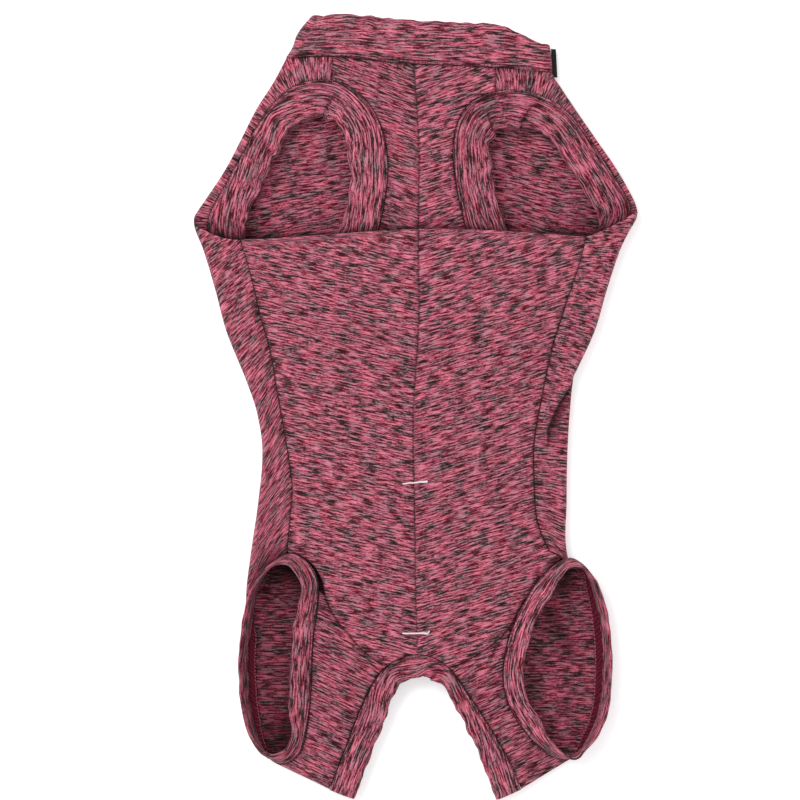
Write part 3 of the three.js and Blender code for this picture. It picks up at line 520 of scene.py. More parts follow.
class SewnLine:
    """Smooth line through points, a centripetal curve, open or closed."""

    def __init__(self, points: Iterable[Vector], closed: bool = False) -> None:
        """Keeps the points.

        Args:
            points: what the line runs through.
            closed: whether its end joins its start.
        """
        self.points = list(points)
        self.closed = closed

    def _knot(self, i: int) -> Vector:
        """Point number i, carried on past the ends of an open line."""
        count = len(self.points)
        if self.closed:
            return self.points[i % count]
        if i < 0:
            return self.points[0] * 2 - self.points[1]
        if i >= count:
            return self.points[-1] * 2 - self.points[-2]
        return self.points[i]

    def at(self, t: float) -> Vector:
        """Point at a share of the line's knots."""
        spans = len(self.points) - (0 if self.closed else 1)
        place = t * spans
        i = math.floor(place)
        if not self.closed:
            i = max(0, min(i, spans - 1))
        w = place - i
        p0, p1, p2, p3 = (self._knot(i + k) for k in (-1, 0, 1, 2))
        d1 = math.sqrt((p2 - p1).length) or 1.0
        d0 = math.sqrt((p1 - p0).length) or d1
        d2 = math.sqrt((p3 - p2).length) or d1
        leave = ((p1 - p0) / d0 - (p2 - p0) / (d0 + d1) + (p2 - p1) / d1) * d1
        arrive = ((p2 - p1) / d1 - (p3 - p1) / (d1 + d2) + (p3 - p2) / d2) * d1
        square, cube = w * w, w * w * w
        return (
            p1 * (2 * cube - 3 * square + 1) + leave * (cube - 2 * square + w)
            + p2 * (3 * square - 2 * cube) + arrive * (cube - square)
        )

    def along(self, t: float) -> Vector:
        """Direction in plan at a share of the line's knots."""
        step = 1e-3
        low, high = (t - step, t + step) if self.closed else (max(t - step, 0), min(t + step, 1))
        ahead = self.at(high) - self.at(low)
        return Vector((ahead.x, ahead.y, 0)).normalized()


class Tape:
    """A line measured with a tape: points by distance, and distance by share."""

    def __init__(self, line: Callable[[float], Vector], steps: int = 120) -> None:
        """Measures the line.

        Args:
            line: gives a point for a share from 0 to 1.
            steps: how finely it is measured.
        """
        self.points = [line(i / steps) for i in range(steps + 1)]
        self.runs = [0.0]
        for a, b in zip(self.points, self.points[1:]):
            self.runs.append(self.runs[-1] + (b - a).length)
        self.length = self.runs[-1]

    def run(self, share: float) -> float:
        """Distance from the start at a share of the line's own parameter."""
        place = clamp(share) * (len(self.runs) - 1)
        i = min(int(place), len(self.runs) - 2)
        return mix(self.runs[i], self.runs[i + 1], place - i)

    def even(self, share: float) -> Vector:
        """Point at a share of the line's length."""
        target = clamp(share) * self.length
        i = max(1, min(bisect_right(self.runs, target), len(self.runs) - 1))
        span = (self.runs[i] - self.runs[i - 1]) or 1.0
        return self.points[i - 1].lerp(self.points[i], clamp((target - self.runs[i - 1]) / span))


def ripple(x: float, y: float, reach: float, seed: float, turn: float = 0.0, squeeze: float = 1.0) -> float:
    """Soft unevenness of laid cloth at a point, from about -1 to 1.

    Args:
        x: place across.
        y: place along.
        reach: size of one ripple in millimetres.
        seed: tells one piece's ripples from another's.
        turn: direction that the ripples run in, in degrees.
        squeeze: how much shorter they are across that direction.

    Returns:
        The height's share.
    """
    c, s = math.cos(math.radians(turn)), math.sin(math.radians(turn))
    along, over = c * x + s * y, (c * y - s * x) * squeeze
    return noise.noise(Vector((along / reach, over / reach, seed)))


def seam_dip(distance: float, depth: float = 0.7) -> float:
    """How far cloth dives into a seam at a distance from it."""
    return -depth * math.exp(-distance / 1.5)


def seam_pucker(distance: float, run: float, seed: float, depth: float = 0.35) -> float:
    """Small gathers across a seam, which fade away from it.

    Args:
        distance: how far from the seam.
        run: how far along it.
        seed: tells one seam's gathers from another's.
        depth: height of a gather beside the seam.

    Returns:
        Height of the gather.
    """
    return depth * math.exp(-distance / 6.0) * noise.noise(Vector((run / 4.2, distance / 14.0, seed)))


class LaidSuit:
    """How the flattened suit lies: its folds, its heights and its seams."""

    nook_dark = (0.74, 0.9)
    nook_reach = (2.7, 7.5)
    press = 1.3
    press_reach = 4.0

    def __init__(self) -> None:
        """Reads the tables once."""
        self.fold_x = {side: Track(OUTLINE, "at", side.value) for side in Side}
        self.side_rise = Track(HEIGHTS, "at", "side")
        self.crown_rise = Track(HEIGHTS, "at", "crown")
        self.stack = Track(HEIGHTS, "at", "stack")
        self.fold_at = Track(FOLD_LINE, "x", "at")
        self.centre_x = Track(CENTRE_SEAM, "at", "x")
        self.side_seam_x = {side: Track(SIDE_SEAMS, "at", side.value) for side in Side}
        self.collar_seam = Track(COLLAR, "x", "seam")
        self.collar_rim = Track(COLLAR, "x", "rim")
        self.shoulder_rows = Track(SHOULDER_ROWS, "first", "second")
        self.arch = SewnLine(spot(row) for row in ARCH)
        widths = [PairRow(i / (len(ARCH) - 1), row.band) for i, row in enumerate(ARCH)]
        self.arch_widths = Track(widths, "first", "second")
        self.arms = {side: SewnLine((spot(row) for row in ARM_LOOPS[side]), True) for side in Side}
        self.groins = {side: SewnLine(spot(row) for row in GROINS[side]) for side in Side}
        self.legs = {
            side: SewnLine((spot(row, UNDER + row.rise * LEG_RISE) for row in LEG_LOOPS[side]), True)
            for side in Side
        }
        self.leg_rings = {side: self.ring_of(self.legs[side]) for side in Side}
        self.tuck_x = Track(TUCK, "at", "x")

    @staticmethod
    def ring_of(line: SewnLine, steps: int = 240) -> kdtree.KDTree:
        """Points along a line in plan, to look up how near it is."""
        ring = kdtree.KDTree(steps)
        for i in range(steps):
            point = line.at(i / steps)
            ring.insert((point.x, point.y, 0), i)
        ring.balance()
        return ring

    def from_leg(self, side: Side, point: Vector) -> float:
        """Distance in plan from a hind leg band's sewn edge."""
        return self.leg_rings[side].find((point.x, point.y, 0))[2]

    def before_fold(self, x: float, y: float) -> float:
        """Distance before the belly's front fold."""
        return max(y - lengthwise(self.fold_at(x / HALF_WIDTH)), 0)

    def nook(self, x: float, y: float) -> float:
        """Share of the light above the belly's front fold, least in the nooks beside its corners."""
        corner = bell(abs(x) - 0.79 * HALF_WIDTH, 0.15 * HALF_WIDTH)
        reach = mix(*self.nook_reach, corner)
        return 1 - mix(*self.nook_dark, corner) * math.exp(-self.before_fold(x, y) / reach)

    def chest_level(self, x: float, y: float) -> float:
        """The chest's height, pressed down before the belly's front fold."""
        return self.chest_height(x, y) - self.press * math.exp(-self.before_fold(x, y) / self.press_reach)

    def tuck(self, x: float, y: float) -> tuple[float, float]:
        """Distance beyond the edge of the right side's small tuck, and how deep the tuck is there."""
        at = share_of(y)
        depth = smooth(at, 0.45, 0.463) * smooth(at, 0.565, 0.528)
        return x - self.tuck_x(clamp(at, 0.455, 0.53)) * HALF_WIDTH, depth

    @staticmethod
    def leg_dim(point: Vector) -> float:
        """Painted share of the light inside the hind legs: little, and less along their lines of painted shade."""
        light = CUTS[Side.LEFT if point.x < 0 else Side.RIGHT].leg_light
        for crease in LEG_SHADE_LINES:
            light *= 1 - crease.height * LaidSuit.on_crease(crease, point.xy)
        return light

    @staticmethod
    def in_leg(point: Vector) -> float:
        """0 in the body of the suit and 1 inside the hind legs."""
        return smooth(share_of(point.y), 0.6, 0.69)

    def across(self, x: float, y: float) -> float:
        """Share across the suit: -1 at the left side fold, 1 at the right one."""
        at = share_of(y)
        left, right = (self.fold_x[side](at) * HALF_WIDTH for side in Side)
        return clamp((2 * x - left - right) / (right - left), -1, 1)

    def chest_height(self, x: float, y: float) -> float:
        """Height of the middle of the chest's cloth and of all that lies at its level."""
        at = share_of(y)
        side, crown = self.side_rise(at) * SIDE_RISE, self.crown_rise(at) * CROWN_RISE
        return UNDER + side + (crown - side) * (1 - self.across(x, y) ** 2)

    def belly_height(self, x: float, y: float) -> float:
        """Height of the middle of the belly's cloth, over the pleat's layers and with its creases."""
        stack = self.stack(share_of(y)) * PLEAT_STACK
        towards_fold = 0.55 + 0.45 * (1 - self.across(x, y) ** 8)
        point = Vector((x, y))
        creases = sum(crease.height * CROWN_RISE * self.on_crease(crease, point) for crease in CREASES)
        return self.chest_height(x, y) + stack * towards_fold + creases

    @staticmethod
    def on_crease(crease: CreaseRow, point: Vector) -> float:
        """Share of a crease that a point in plan has: 1 on its line, and less beside it."""
        start = spot(crease).xy
        line = Vector((crease.to_x * HALF_WIDTH, lengthwise(crease.to_at))) - start
        away = (point - start - line * share_along(start, line, point)).length
        return bell(away, crease.breadth * HALF_WIDTH)

    def fold_point(self, side: Side, at: float) -> Vector:
        """Point on a side fold, in the middle of its cloth."""
        return Vector((self.fold_x[side](at) * HALF_WIDTH - side.sign * CLOTH_ROOM / 2, lengthwise(at), 0))

    def inside_fold(self, side: Side, at: float, lap: float = 14.0) -> Vector:
        """Point of the lower layer that lies a lap inside a side fold."""
        return self.fold_point(side, at) + Vector((-side.sign * lap, 0, UNDER))

    def collar_seam_at(self, x: float) -> float:
        """Share of the length at which the collar's seam lies."""
        left = self.fold_x[Side.LEFT](0.056) * HALF_WIDTH
        right = self.fold_x[Side.RIGHT](0.07) * HALF_WIDTH
        return self.collar_seam((2 * x - left - right) / (right - left))

    def from_collar(self, point: Vector) -> float:
        """Distance along the suit from the collar's seam."""
        return abs(lengthwise(self.collar_seam_at(point.x)) - SEWN_GAP - point.y)

    @staticmethod
    def to_middle(middle: tuple[SpotRow, SpotRow], point: Vector) -> Vector:
        """Direction in plan from a point of a loop to the middle line of its opening."""
        start = spot(middle[0]).xy
        line = spot(middle[1]).xy - start
        nearest = start + line * share_along(start, line, point.xy)
        return Vector((*(nearest - point.xy), 0)).normalized()

    def arm_point(self, side: Side, index: float, gap: float) -> Vector:
        """Point of a front leg's loop, a gap outside it."""
        point = self.arms[side].at(index / len(ARM_LOOPS[side]))
        return point - self.to_middle(ARM_MIDDLES[side], point) * gap

    def leg_point(self, side: Side, index: float, gap: float) -> Vector:
        """Point of a hind leg's loop at its own height, a gap outside it."""
        point = self.legs[side].at(index / len(LEG_LOOPS[side]))
        return point - self.to_middle(LEG_MIDDLES[side], point) * gap

    def beside_arch(self, t: float, distance: float) -> Vector:
        """Point beside the rear band's sewn edge, at a distance into the opening."""
        along = self.arch.along(t)
        return self.arch.at(t) + Vector((along.y, -along.x, 0)) * distance

    def arch_turn(self, end: int, distance: float, high: float, low: float, angle: float) -> Vector:
        """Point of the hem's fold at one end of the arch, from the upper layer round to the lower one."""
        beyond = self.arch.along(float(end)) * (1 if end else -1)
        point = self.beside_arch(float(end), distance) + beyond * (4.0 * math.sin(angle))
        point.z = (high + low) / 2 + (high - low) / 2 * math.cos(angle)
        return point


SUIT = LaidSuit()


def laid(point: Vector, height: Callable[[float, float], float]) -> Vector:
    """The point, put at the height of the layer that it belongs to."""
    return Vector((point.x, point.y, height(point.x, point.y)))


def beside_side_seam(side: Side, at: float, gap: float) -> Vector:
    """Point beside the seam between the belly and a side panel, in plan."""
    return Vector((SUIT.side_seam_x[side](at) * HALF_WIDTH + side.sign * gap, lengthwise(at), 0))


def beside_centre(side: Side, at: float) -> Vector:
    """Point on a side's edge of the centre seam, in plan."""
    return Vector((SUIT.centre_x(at) * HALF_WIDTH + side.sign * SEWN_GAP, lengthwise(at), 0))


# Finishes


def linear(code: str) -> tuple[float, float, float, float]:
    """Linear colour of an sRGB hex value.

    Args:
        code: six hex digits.

    Returns:
        Red, green, blue and an alpha of 1.
    """
    parts = [int(code[i:i + 2], 16) / 255 for i in (0, 2, 4)]
    return (*[c / 12.92 if c <= 0.04045 else ((c + 0.055) / 1.055) ** 2.4 for c in parts], 1.0)


def add_node(
    tree: bpy.types.NodeTree, kind: str, settings: dict[str, object] | None = None,
    inputs: dict[str | int, object] | None = None,
) -> bpy.types.Node:
    """Adds a node, sets it up and links it.

    Args:
        tree: the material's node tree.
        kind: the node's type.
        settings: its own properties.
        inputs: for each input, a value or the output that feeds it.

    Returns:
        The node.
    """
    node = tree.nodes.new(kind)
    for name, value in (settings or {}).items():
        setattr(node, name, value)
    for name, value in (inputs or {}).items():
        if isinstance(value, bpy.types.NodeSocket):
            tree.links.new(value, node.inputs[name])
        else:
            node.inputs[name].default_value = value
    return node


class Finish(Protocol):
    """Anything that can make a material."""

    name: str
    slot: str

    def material(self) -> bpy.types.Material:
        """The finish as a material."""


def new_material(name: str) -> tuple[bpy.types.Material, bpy.types.NodeTree]:
    """An empty node material and its tree."""
    made = bpy.data.materials.new(name)
    made.use_nodes = True
    made.node_tree.nodes.clear()
    return made, made.node_tree


def surface(tree: bpy.types.NodeTree, inputs: dict[str | int, object]) -> None:
    """Ends a material with its surface.

    Args:
        tree: the material's node tree.
        inputs: values and outputs for the surface's shader.
    """
    shader = add_node(tree, "ShaderNodeBsdfPrincipled", inputs=inputs)
    add_node(tree, "ShaderNodeOutputMaterial", inputs={"Surface": shader.outputs[0]})


@dataclass(frozen=True)
class MelangeJersey:
    """Cotton and elastane jersey of space-dyed yarn, with a fine slub along its courses.

    The yarn is dyed in short lengths before it is knitted, so short patches of charcoal, mauve, rose and pink lie
    side by side. Thick and thin places of the yarn raise long thin ribs, with a painted highlight on their crests
    and painted wine-dark shade between them. Seams, their gathers and topstitched lines get painted shade, and so
    does the cloth wherever the sheet's shade layer holds less light. The fuzz of the spun yarn gives it a matt face.
    """

    name: str = "melange_jersey"
    slot: str = "melange_knit"
    patch: tuple[float, float] = (12.0, 5.0)
    rib: tuple[float, float] = (8.5, 0.9)
    patch_octaves: tuple[float, float] = (5.0, 0.78)
    rib_octaves: tuple[float, float] = (3.0, 0.62)
    patch_range: tuple[float, float] = (0.3, 0.7)
    rib_range: tuple[float, float] = (0.385, 0.615)
    waver: float = 0.12
    speckle: float = 0.22
    charcoal: str = "47393a"
    mauve: str = "894354"
    rose: str = "ac4b61"
    pink: str = "cf5a73"
    # Painted shade in the ribs' grooves and a painted highlight on their crests, and how much of each is laid on.
    groove_shade: str = "6c2a38"
    crest_highlight: str = "e79cac"
    groove_shade_share: float = 1.0
    crest_highlight_share: float = 0.45
    # Painted shade of the seams: its colour, and how dark the line at a seam, the ticks of its gathers and a
    # topstitched line are painted.
    seam: str = "3d1721"
    seam_line_shade: float = 0.85
    gather_shade: float = 0.8
    topstitch: float = 1000.0
    topstitch_shade: float = 0.6
    # The sheet's layer that holds this finish's painted shade.
    shade: str = SHADE
    roughness: float = 0.92
    relief: float = 0.25

    def material(self) -> bpy.types.Material:
        """Dyed patches, ribs with painted highlight and shade, painted seam and layer shade, and the ribs' relief."""
        made, tree = new_material(self.name)
        uv = add_node(tree, "ShaderNodeUVMap", {"uv_map": GRAIN}).outputs[0]
        patches = self.streaks(tree, uv, self.patch, *self.patch_octaves, self.waver)
        ribs = self.streaks(tree, uv, self.rib, *self.rib_octaves, self.waver)
        fuzz = self.streaks(tree, uv, (1.5, 0.6), 1.0, 0.5, 0.0)
        ribs = add_node(
            tree, "ShaderNodeMath", {"operation": "MULTIPLY_ADD"}, {0: fuzz, 1: self.speckle, 2: ribs}
        ).outputs[0]
        dyed = add_node(
            tree, "ShaderNodeMapRange", inputs={0: patches, 1: self.patch_range[0], 2: self.patch_range[1]},
        )
        tones = add_node(tree, "ShaderNodeValToRGB", inputs={0: dyed.outputs[0]})
        ramp = tones.color_ramp
        ramp.elements[0].position, ramp.elements[0].color = 0.3, linear(self.charcoal)
        ramp.elements[1].position, ramp.elements[1].color = 0.86, linear(self.pink)
        for position, code in ((0.42, self.mauve), (0.66, self.rose)):
            ramp.elements.new(position).color = linear(code)
        half = self.speckle / 2
        height = add_node(
            tree, "ShaderNodeMapRange",
            inputs={0: ribs, 1: self.rib_range[0] + half, 2: self.rib_range[1] + half},
        ).outputs[0]
        low = add_node(
            tree, "ShaderNodeMapRange", inputs={0: height, 1: 0.55, 2: 0.0, 3: 0.0, 4: self.groove_shade_share}
        )
        high = add_node(
            tree, "ShaderNodeMapRange", inputs={0: height, 1: 0.55, 2: 1.0, 3: 0.0, 4: self.crest_highlight_share}
        )
        # Painted shade in the rib grooves, then a painted highlight on the crests.
        groove_shaded = add_node(
            tree, "ShaderNodeMix", {"data_type": "RGBA", "blend_type": "MULTIPLY"},
            {0: low.outputs[0], 6: tones.outputs[0], 7: linear(self.groove_shade)},
        )
        crest_highlighted = add_node(
            tree, "ShaderNodeMix", {"data_type": "RGBA"},
            {0: high.outputs[0], 6: groove_shaded.outputs[2], 7: linear(self.crest_highlight)},
        )
        # Painted shade of the sewn grooves, multiplied in towards the seam colour.
        sewn = add_node(
            tree, "ShaderNodeMix", {"data_type": "RGBA", "blend_type": "MULTIPLY"},
            {0: self.seam_shade(tree), 6: crest_highlighted.outputs[2], 7: linear(self.seam)},
        )
        # Painted shade from the sheet's layer: less light darkens the colour and deepens its saturation.
        shade = add_node(tree, "ShaderNodeAttribute", {"attribute_name": self.shade}).outputs["Fac"]
        shade_saturation = add_node(tree, "ShaderNodeMapRange", inputs={0: shade, 1: 0.2, 2: 1.0, 3: 1.12, 4: 1.0})
        colour = add_node(
            tree, "ShaderNodeHueSaturation",
            inputs={"Color": sewn.outputs[2], "Saturation": shade_saturation.outputs[0], "Value": shade},
        ).outputs[0]
        bump = add_node(
            tree, "ShaderNodeBump",
            inputs={"Height": height, "Strength": 0.6, "Distance": self.relief * MM},
        )
        surface(tree, {
            "Base Color": colour, "Roughness": self.roughness, "Normal": bump.outputs[0],
            "Specular IOR Level": 0.2, "Sheen Weight": 0.06, "Sheen Roughness": 0.6,
        })
        return made

    def seam_shade(self, tree: bpy.types.NodeTree) -> bpy.types.NodeSocket:
        """Painted shade of the sewn grooves: a line at each seam, ticks across its gathers and a topstitched line."""
        uv = add_node(tree, "ShaderNodeUVMap", {"uv_map": SEAM}).outputs[0]
        away = add_node(tree, "ShaderNodeSeparateXYZ", inputs={0: uv}).outputs[0]
        eased = {"interpolation_type": "SMOOTHSTEP"}
        line = add_node(tree, "ShaderNodeMapRange", eased, {0: away, 1: 0.25, 2: 1.1, 3: self.seam_line_shade, 4: 0.0})
        pulled = self.streaks(tree, uv, (5.0, 1.1), 1.0, 0.5, 0.0)
        ticks = add_node(tree, "ShaderNodeMapRange", eased, {0: pulled, 1: 0.45, 2: 0.65, 3: 0.0, 4: self.gather_shade})
        near = add_node(tree, "ShaderNodeMapRange", eased, {0: away, 1: 0.4, 2: 3.6, 3: 1.0, 4: 0.0})
        gathers = add_node(
            tree, "ShaderNodeMath", {"operation": "MULTIPLY"}, {0: ticks.outputs[0], 1: near.outputs[0]}
        )
        beyond = add_node(tree, "ShaderNodeMath", {"operation": "SUBTRACT"}, {0: away, 1: self.topstitch})
        beside = add_node(tree, "ShaderNodeMath", {"operation": "ABSOLUTE"}, {0: beyond.outputs[0]})
        top = add_node(
            tree, "ShaderNodeMapRange", eased,
            {0: beside.outputs[0], 1: 0.15, 2: 0.7, 3: self.topstitch_shade, 4: 0.0},
        )
        most = add_node(
            tree, "ShaderNodeMath", {"operation": "MAXIMUM"}, {0: line.outputs[0], 1: gathers.outputs[0]}
        )
        return add_node(
            tree, "ShaderNodeMath", {"operation": "MAXIMUM"}, {0: most.outputs[0], 1: top.outputs[0]}
        ).outputs[0]

    @staticmethod
    def streaks(
        tree: bpy.types.NodeTree, uv: bpy.types.NodeSocket, size: tuple[float, float], detail: float,
        roughness: float, distortion: float,
    ) -> bpy.types.NodeSocket:
        """Noise drawn out along the courses.

        Args:
            tree: the material's node tree.
            uv: place on the cloth in millimetres.
            size: length and height of a streak in millimetres.
            detail: how many finer octaves it has.
            roughness: how strong they are.
            distortion: how much the streaks waver.

        Returns:
            The noise's value.
        """
        drawn = add_node(
            tree, "ShaderNodeVectorMath", {"operation": "MULTIPLY"},
            {0: uv, 1: (1 / size[0], 1 / size[1], 1.0)},
        )
        return add_node(
            tree, "ShaderNodeTexNoise", {"noise_dimensions": "2D"},
            {"Vector": drawn.outputs[0], "Scale": 1.0, "Detail": detail, "Roughness": roughness,
             "Distortion": distortion},
        ).outputs[0]


@dataclass(frozen=True)
class PlainFinish:
    """One-coloured thread or tape with a fine twist or weave across it.

    Polyester sewing thread and tape are smooth and slightly bright, and show fine slanting lines.
    """

    name: str
    slot: str
    light: str
    dark: str
    pitch: float
    roughness: float = 0.55
    gloss: float = 0.5

    def material(self) -> bpy.types.Material:
        """Fine lines of two close tones, with their relief."""
        made, tree = new_material(self.name)
        place = add_node(tree, "ShaderNodeTexCoord")
        lines = add_node(
            tree, "ShaderNodeTexWave", {"wave_type": "BANDS", "bands_direction": "DIAGONAL"},
            {"Vector": place.outputs["Object"], "Scale": 0.32 / (self.pitch * MM), "Distortion": 0.6},
        )
        tone = add_node(
            tree, "ShaderNodeMix", {"data_type": "RGBA"},
            {0: lines.outputs["Fac"], 6: linear(self.dark), 7: linear(self.light)},
        )
        bump = add_node(
            tree, "ShaderNodeBump",
            inputs={"Height": lines.outputs["Fac"], "Strength": 0.5, "Distance": 0.1 * MM},
        )
        surface(tree, {
            "Base Color": tone.outputs[2], "Roughness": self.roughness, "Specular IOR Level": self.gloss,
            "Normal": bump.outputs[0],
        })
        return made


@dataclass(frozen=True)
class OverlockThread:
    """Rose polyester thread that binds a cut edge of the knit with slanted loops.

    The loops lie close together, so the edge looks deep rose with fine slanting lines, and a pale needle thread
    shows as dashes along both its sides.
    """

    name: str = "rose_overlock_thread"
    slot: str = "melange_knit"
    dark: str = "3a0916"
    light: str = "66182b"
    needle: str = "a0566a"
    pitch: float = 1.5
    width: float = 6.5
    roughness: float = 0.85
    gloss: float = 0.15

    def material(self) -> bpy.types.Material:
        """Slanting loops, with dashes of the needle thread along the sides."""
        made, tree = new_material(self.name)
        uv = add_node(tree, "ShaderNodeUVMap", {"uv_map": GRAIN}).outputs[0]
        loops = add_node(
            tree, "ShaderNodeTexWave", {"wave_type": "BANDS", "bands_direction": "DIAGONAL"},
            {"Vector": uv, "Scale": 0.31 / self.pitch, "Distortion": 7.0, "Detail": 2.0},
        ).outputs["Fac"]
        tone = add_node(
            tree, "ShaderNodeMix", {"data_type": "RGBA"}, {0: loops, 6: linear(self.dark), 7: linear(self.light)}
        ).outputs[2]
        across = add_node(tree, "ShaderNodeSeparateXYZ", inputs={0: uv}).outputs[1]
        centred = add_node(tree, "ShaderNodeMath", {"operation": "SUBTRACT"}, {0: across, 1: self.width / 2})
        away = add_node(tree, "ShaderNodeMath", {"operation": "ABSOLUTE"}, {0: centred.outputs[0]})
        half = self.width / 2
        rows = add_node(tree, "ShaderNodeMapRange", inputs={0: away.outputs[0], 1: half - 0.9, 2: half - 0.4})
        dashes = add_node(
            tree, "ShaderNodeTexWave", {"wave_type": "BANDS", "bands_direction": "X"},
            {"Vector": uv, "Scale": 0.31 / (self.pitch * 1.4), "Distortion": 3.0, "Detail": 1.0},
        ).outputs["Fac"]
        shown = add_node(
            tree, "ShaderNodeMath", {"operation": "MULTIPLY"}, {0: rows.outputs[0], 1: dashes}
        ).outputs[0]
        colour = add_node(
            tree, "ShaderNodeMix", {"data_type": "RGBA"}, {0: shown, 6: tone, 7: linear(self.needle)}
        ).outputs[2]
        bump = add_node(tree, "ShaderNodeBump", inputs={"Height": loops, "Strength": 0.7, "Distance": 0.3 * MM})
        surface(tree, {
            "Base Color": colour, "Roughness": self.roughness, "Specular IOR Level": self.gloss,
            "Normal": bump.outputs[0],
        })
        return made


class Wardrobe:
    """The finishes, each made once."""

    def __init__(self) -> None:
        """Starts with none made."""
        self.made: dict[str, bpy.types.Material] = {}

    def of(self, finish: Finish) -> bpy.types.Material:
        """The finish's material."""
        if finish.name not in self.made:
            self.made[finish.name] = finish.material()
        return self.made[finish.name]


WARDROBE = Wardrobe()
PANEL_JERSEY = MelangeJersey()
BAND_JERSEY = MelangeJersey(
    name="melange_band_jersey", slot="melange_knit_bands", patch=(14.0, 3.6), rib=(11.0, 0.82), topstitch=2.4,
)
HEM_JERSEY = MelangeJersey(
    name="melange_hem_jersey", slot="melange_knit_bands", patch=(14.0, 3.6), rib=(11.0, 0.82), topstitch=3.8,
)
# The jersey's copy for the sheets' inner faces, darkened by the inner faces' painted shade layer.
SHADED_INNER_JERSEY = MelangeJersey(name="melange_jersey_inside_painted_shade", shade=INNER_SHADE)
TACK_THREAD = PlainFinish("white_tack_thread", "melange_knit", "f4eef0", "d9c9ce", 0.5)
OVERLOCK = OverlockThread()
LABEL_TAPE = PlainFinish("black_satin_tape", "label_tape", "141316", "080709", 0.5, gloss=0.2)


# Cloth


def in_scene(name: str, data: bpy.types.ID) -> bpy.types.Object:
    """A new object of the scene with the mesh, lamp or camera that it holds."""
    made = bpy.data.objects.new(name, data)
    bpy.context.scene.collection.objects.link(made)
    return made


def mesh_object(shape: bmesh.types.BMesh, name: str, material: bpy.types.Material) -> bpy.types.Object:
    """Turns a shape into an object, with smooth faces.

    Args:
        shape: the shape, which is freed.
        name: what the object is called.
        material: its finish.

    Returns:
        The object.
    """
    for face in shape.faces:
        face.smooth = True
    mesh = bpy.data.meshes.new(name)
    shape.to_mesh(mesh)
    shape.free()
    mesh.materials.append(material)
    return in_scene(name, mesh)


def thicken(piece: bpy.types.Object, thickness: float) -> bpy.types.Modifier:
    """Gives a sheet its thickness in millimetres, half to each side."""
    wall = piece.modifiers.new("thickness", "SOLIDIFY")
    wall.thickness = thickness * MM
    wall.offset = 0.0
    return wall


def to_metres(shape: bmesh.types.BMesh) -> None:
    """Moves a shape from the pattern's middle to the suit's, and turns its millimetres into metres."""
    bmesh.ops.translate(shape, verts=shape.verts[:], vec=CENTRE)
    bmesh.ops.scale(shape, verts=shape.verts[:], vec=(MM, MM, MM))


class Piece(Protocol):
    """Anything that builds itself as one object."""

    def build(self) -> bpy.types.Object:
        """Makes the object."""


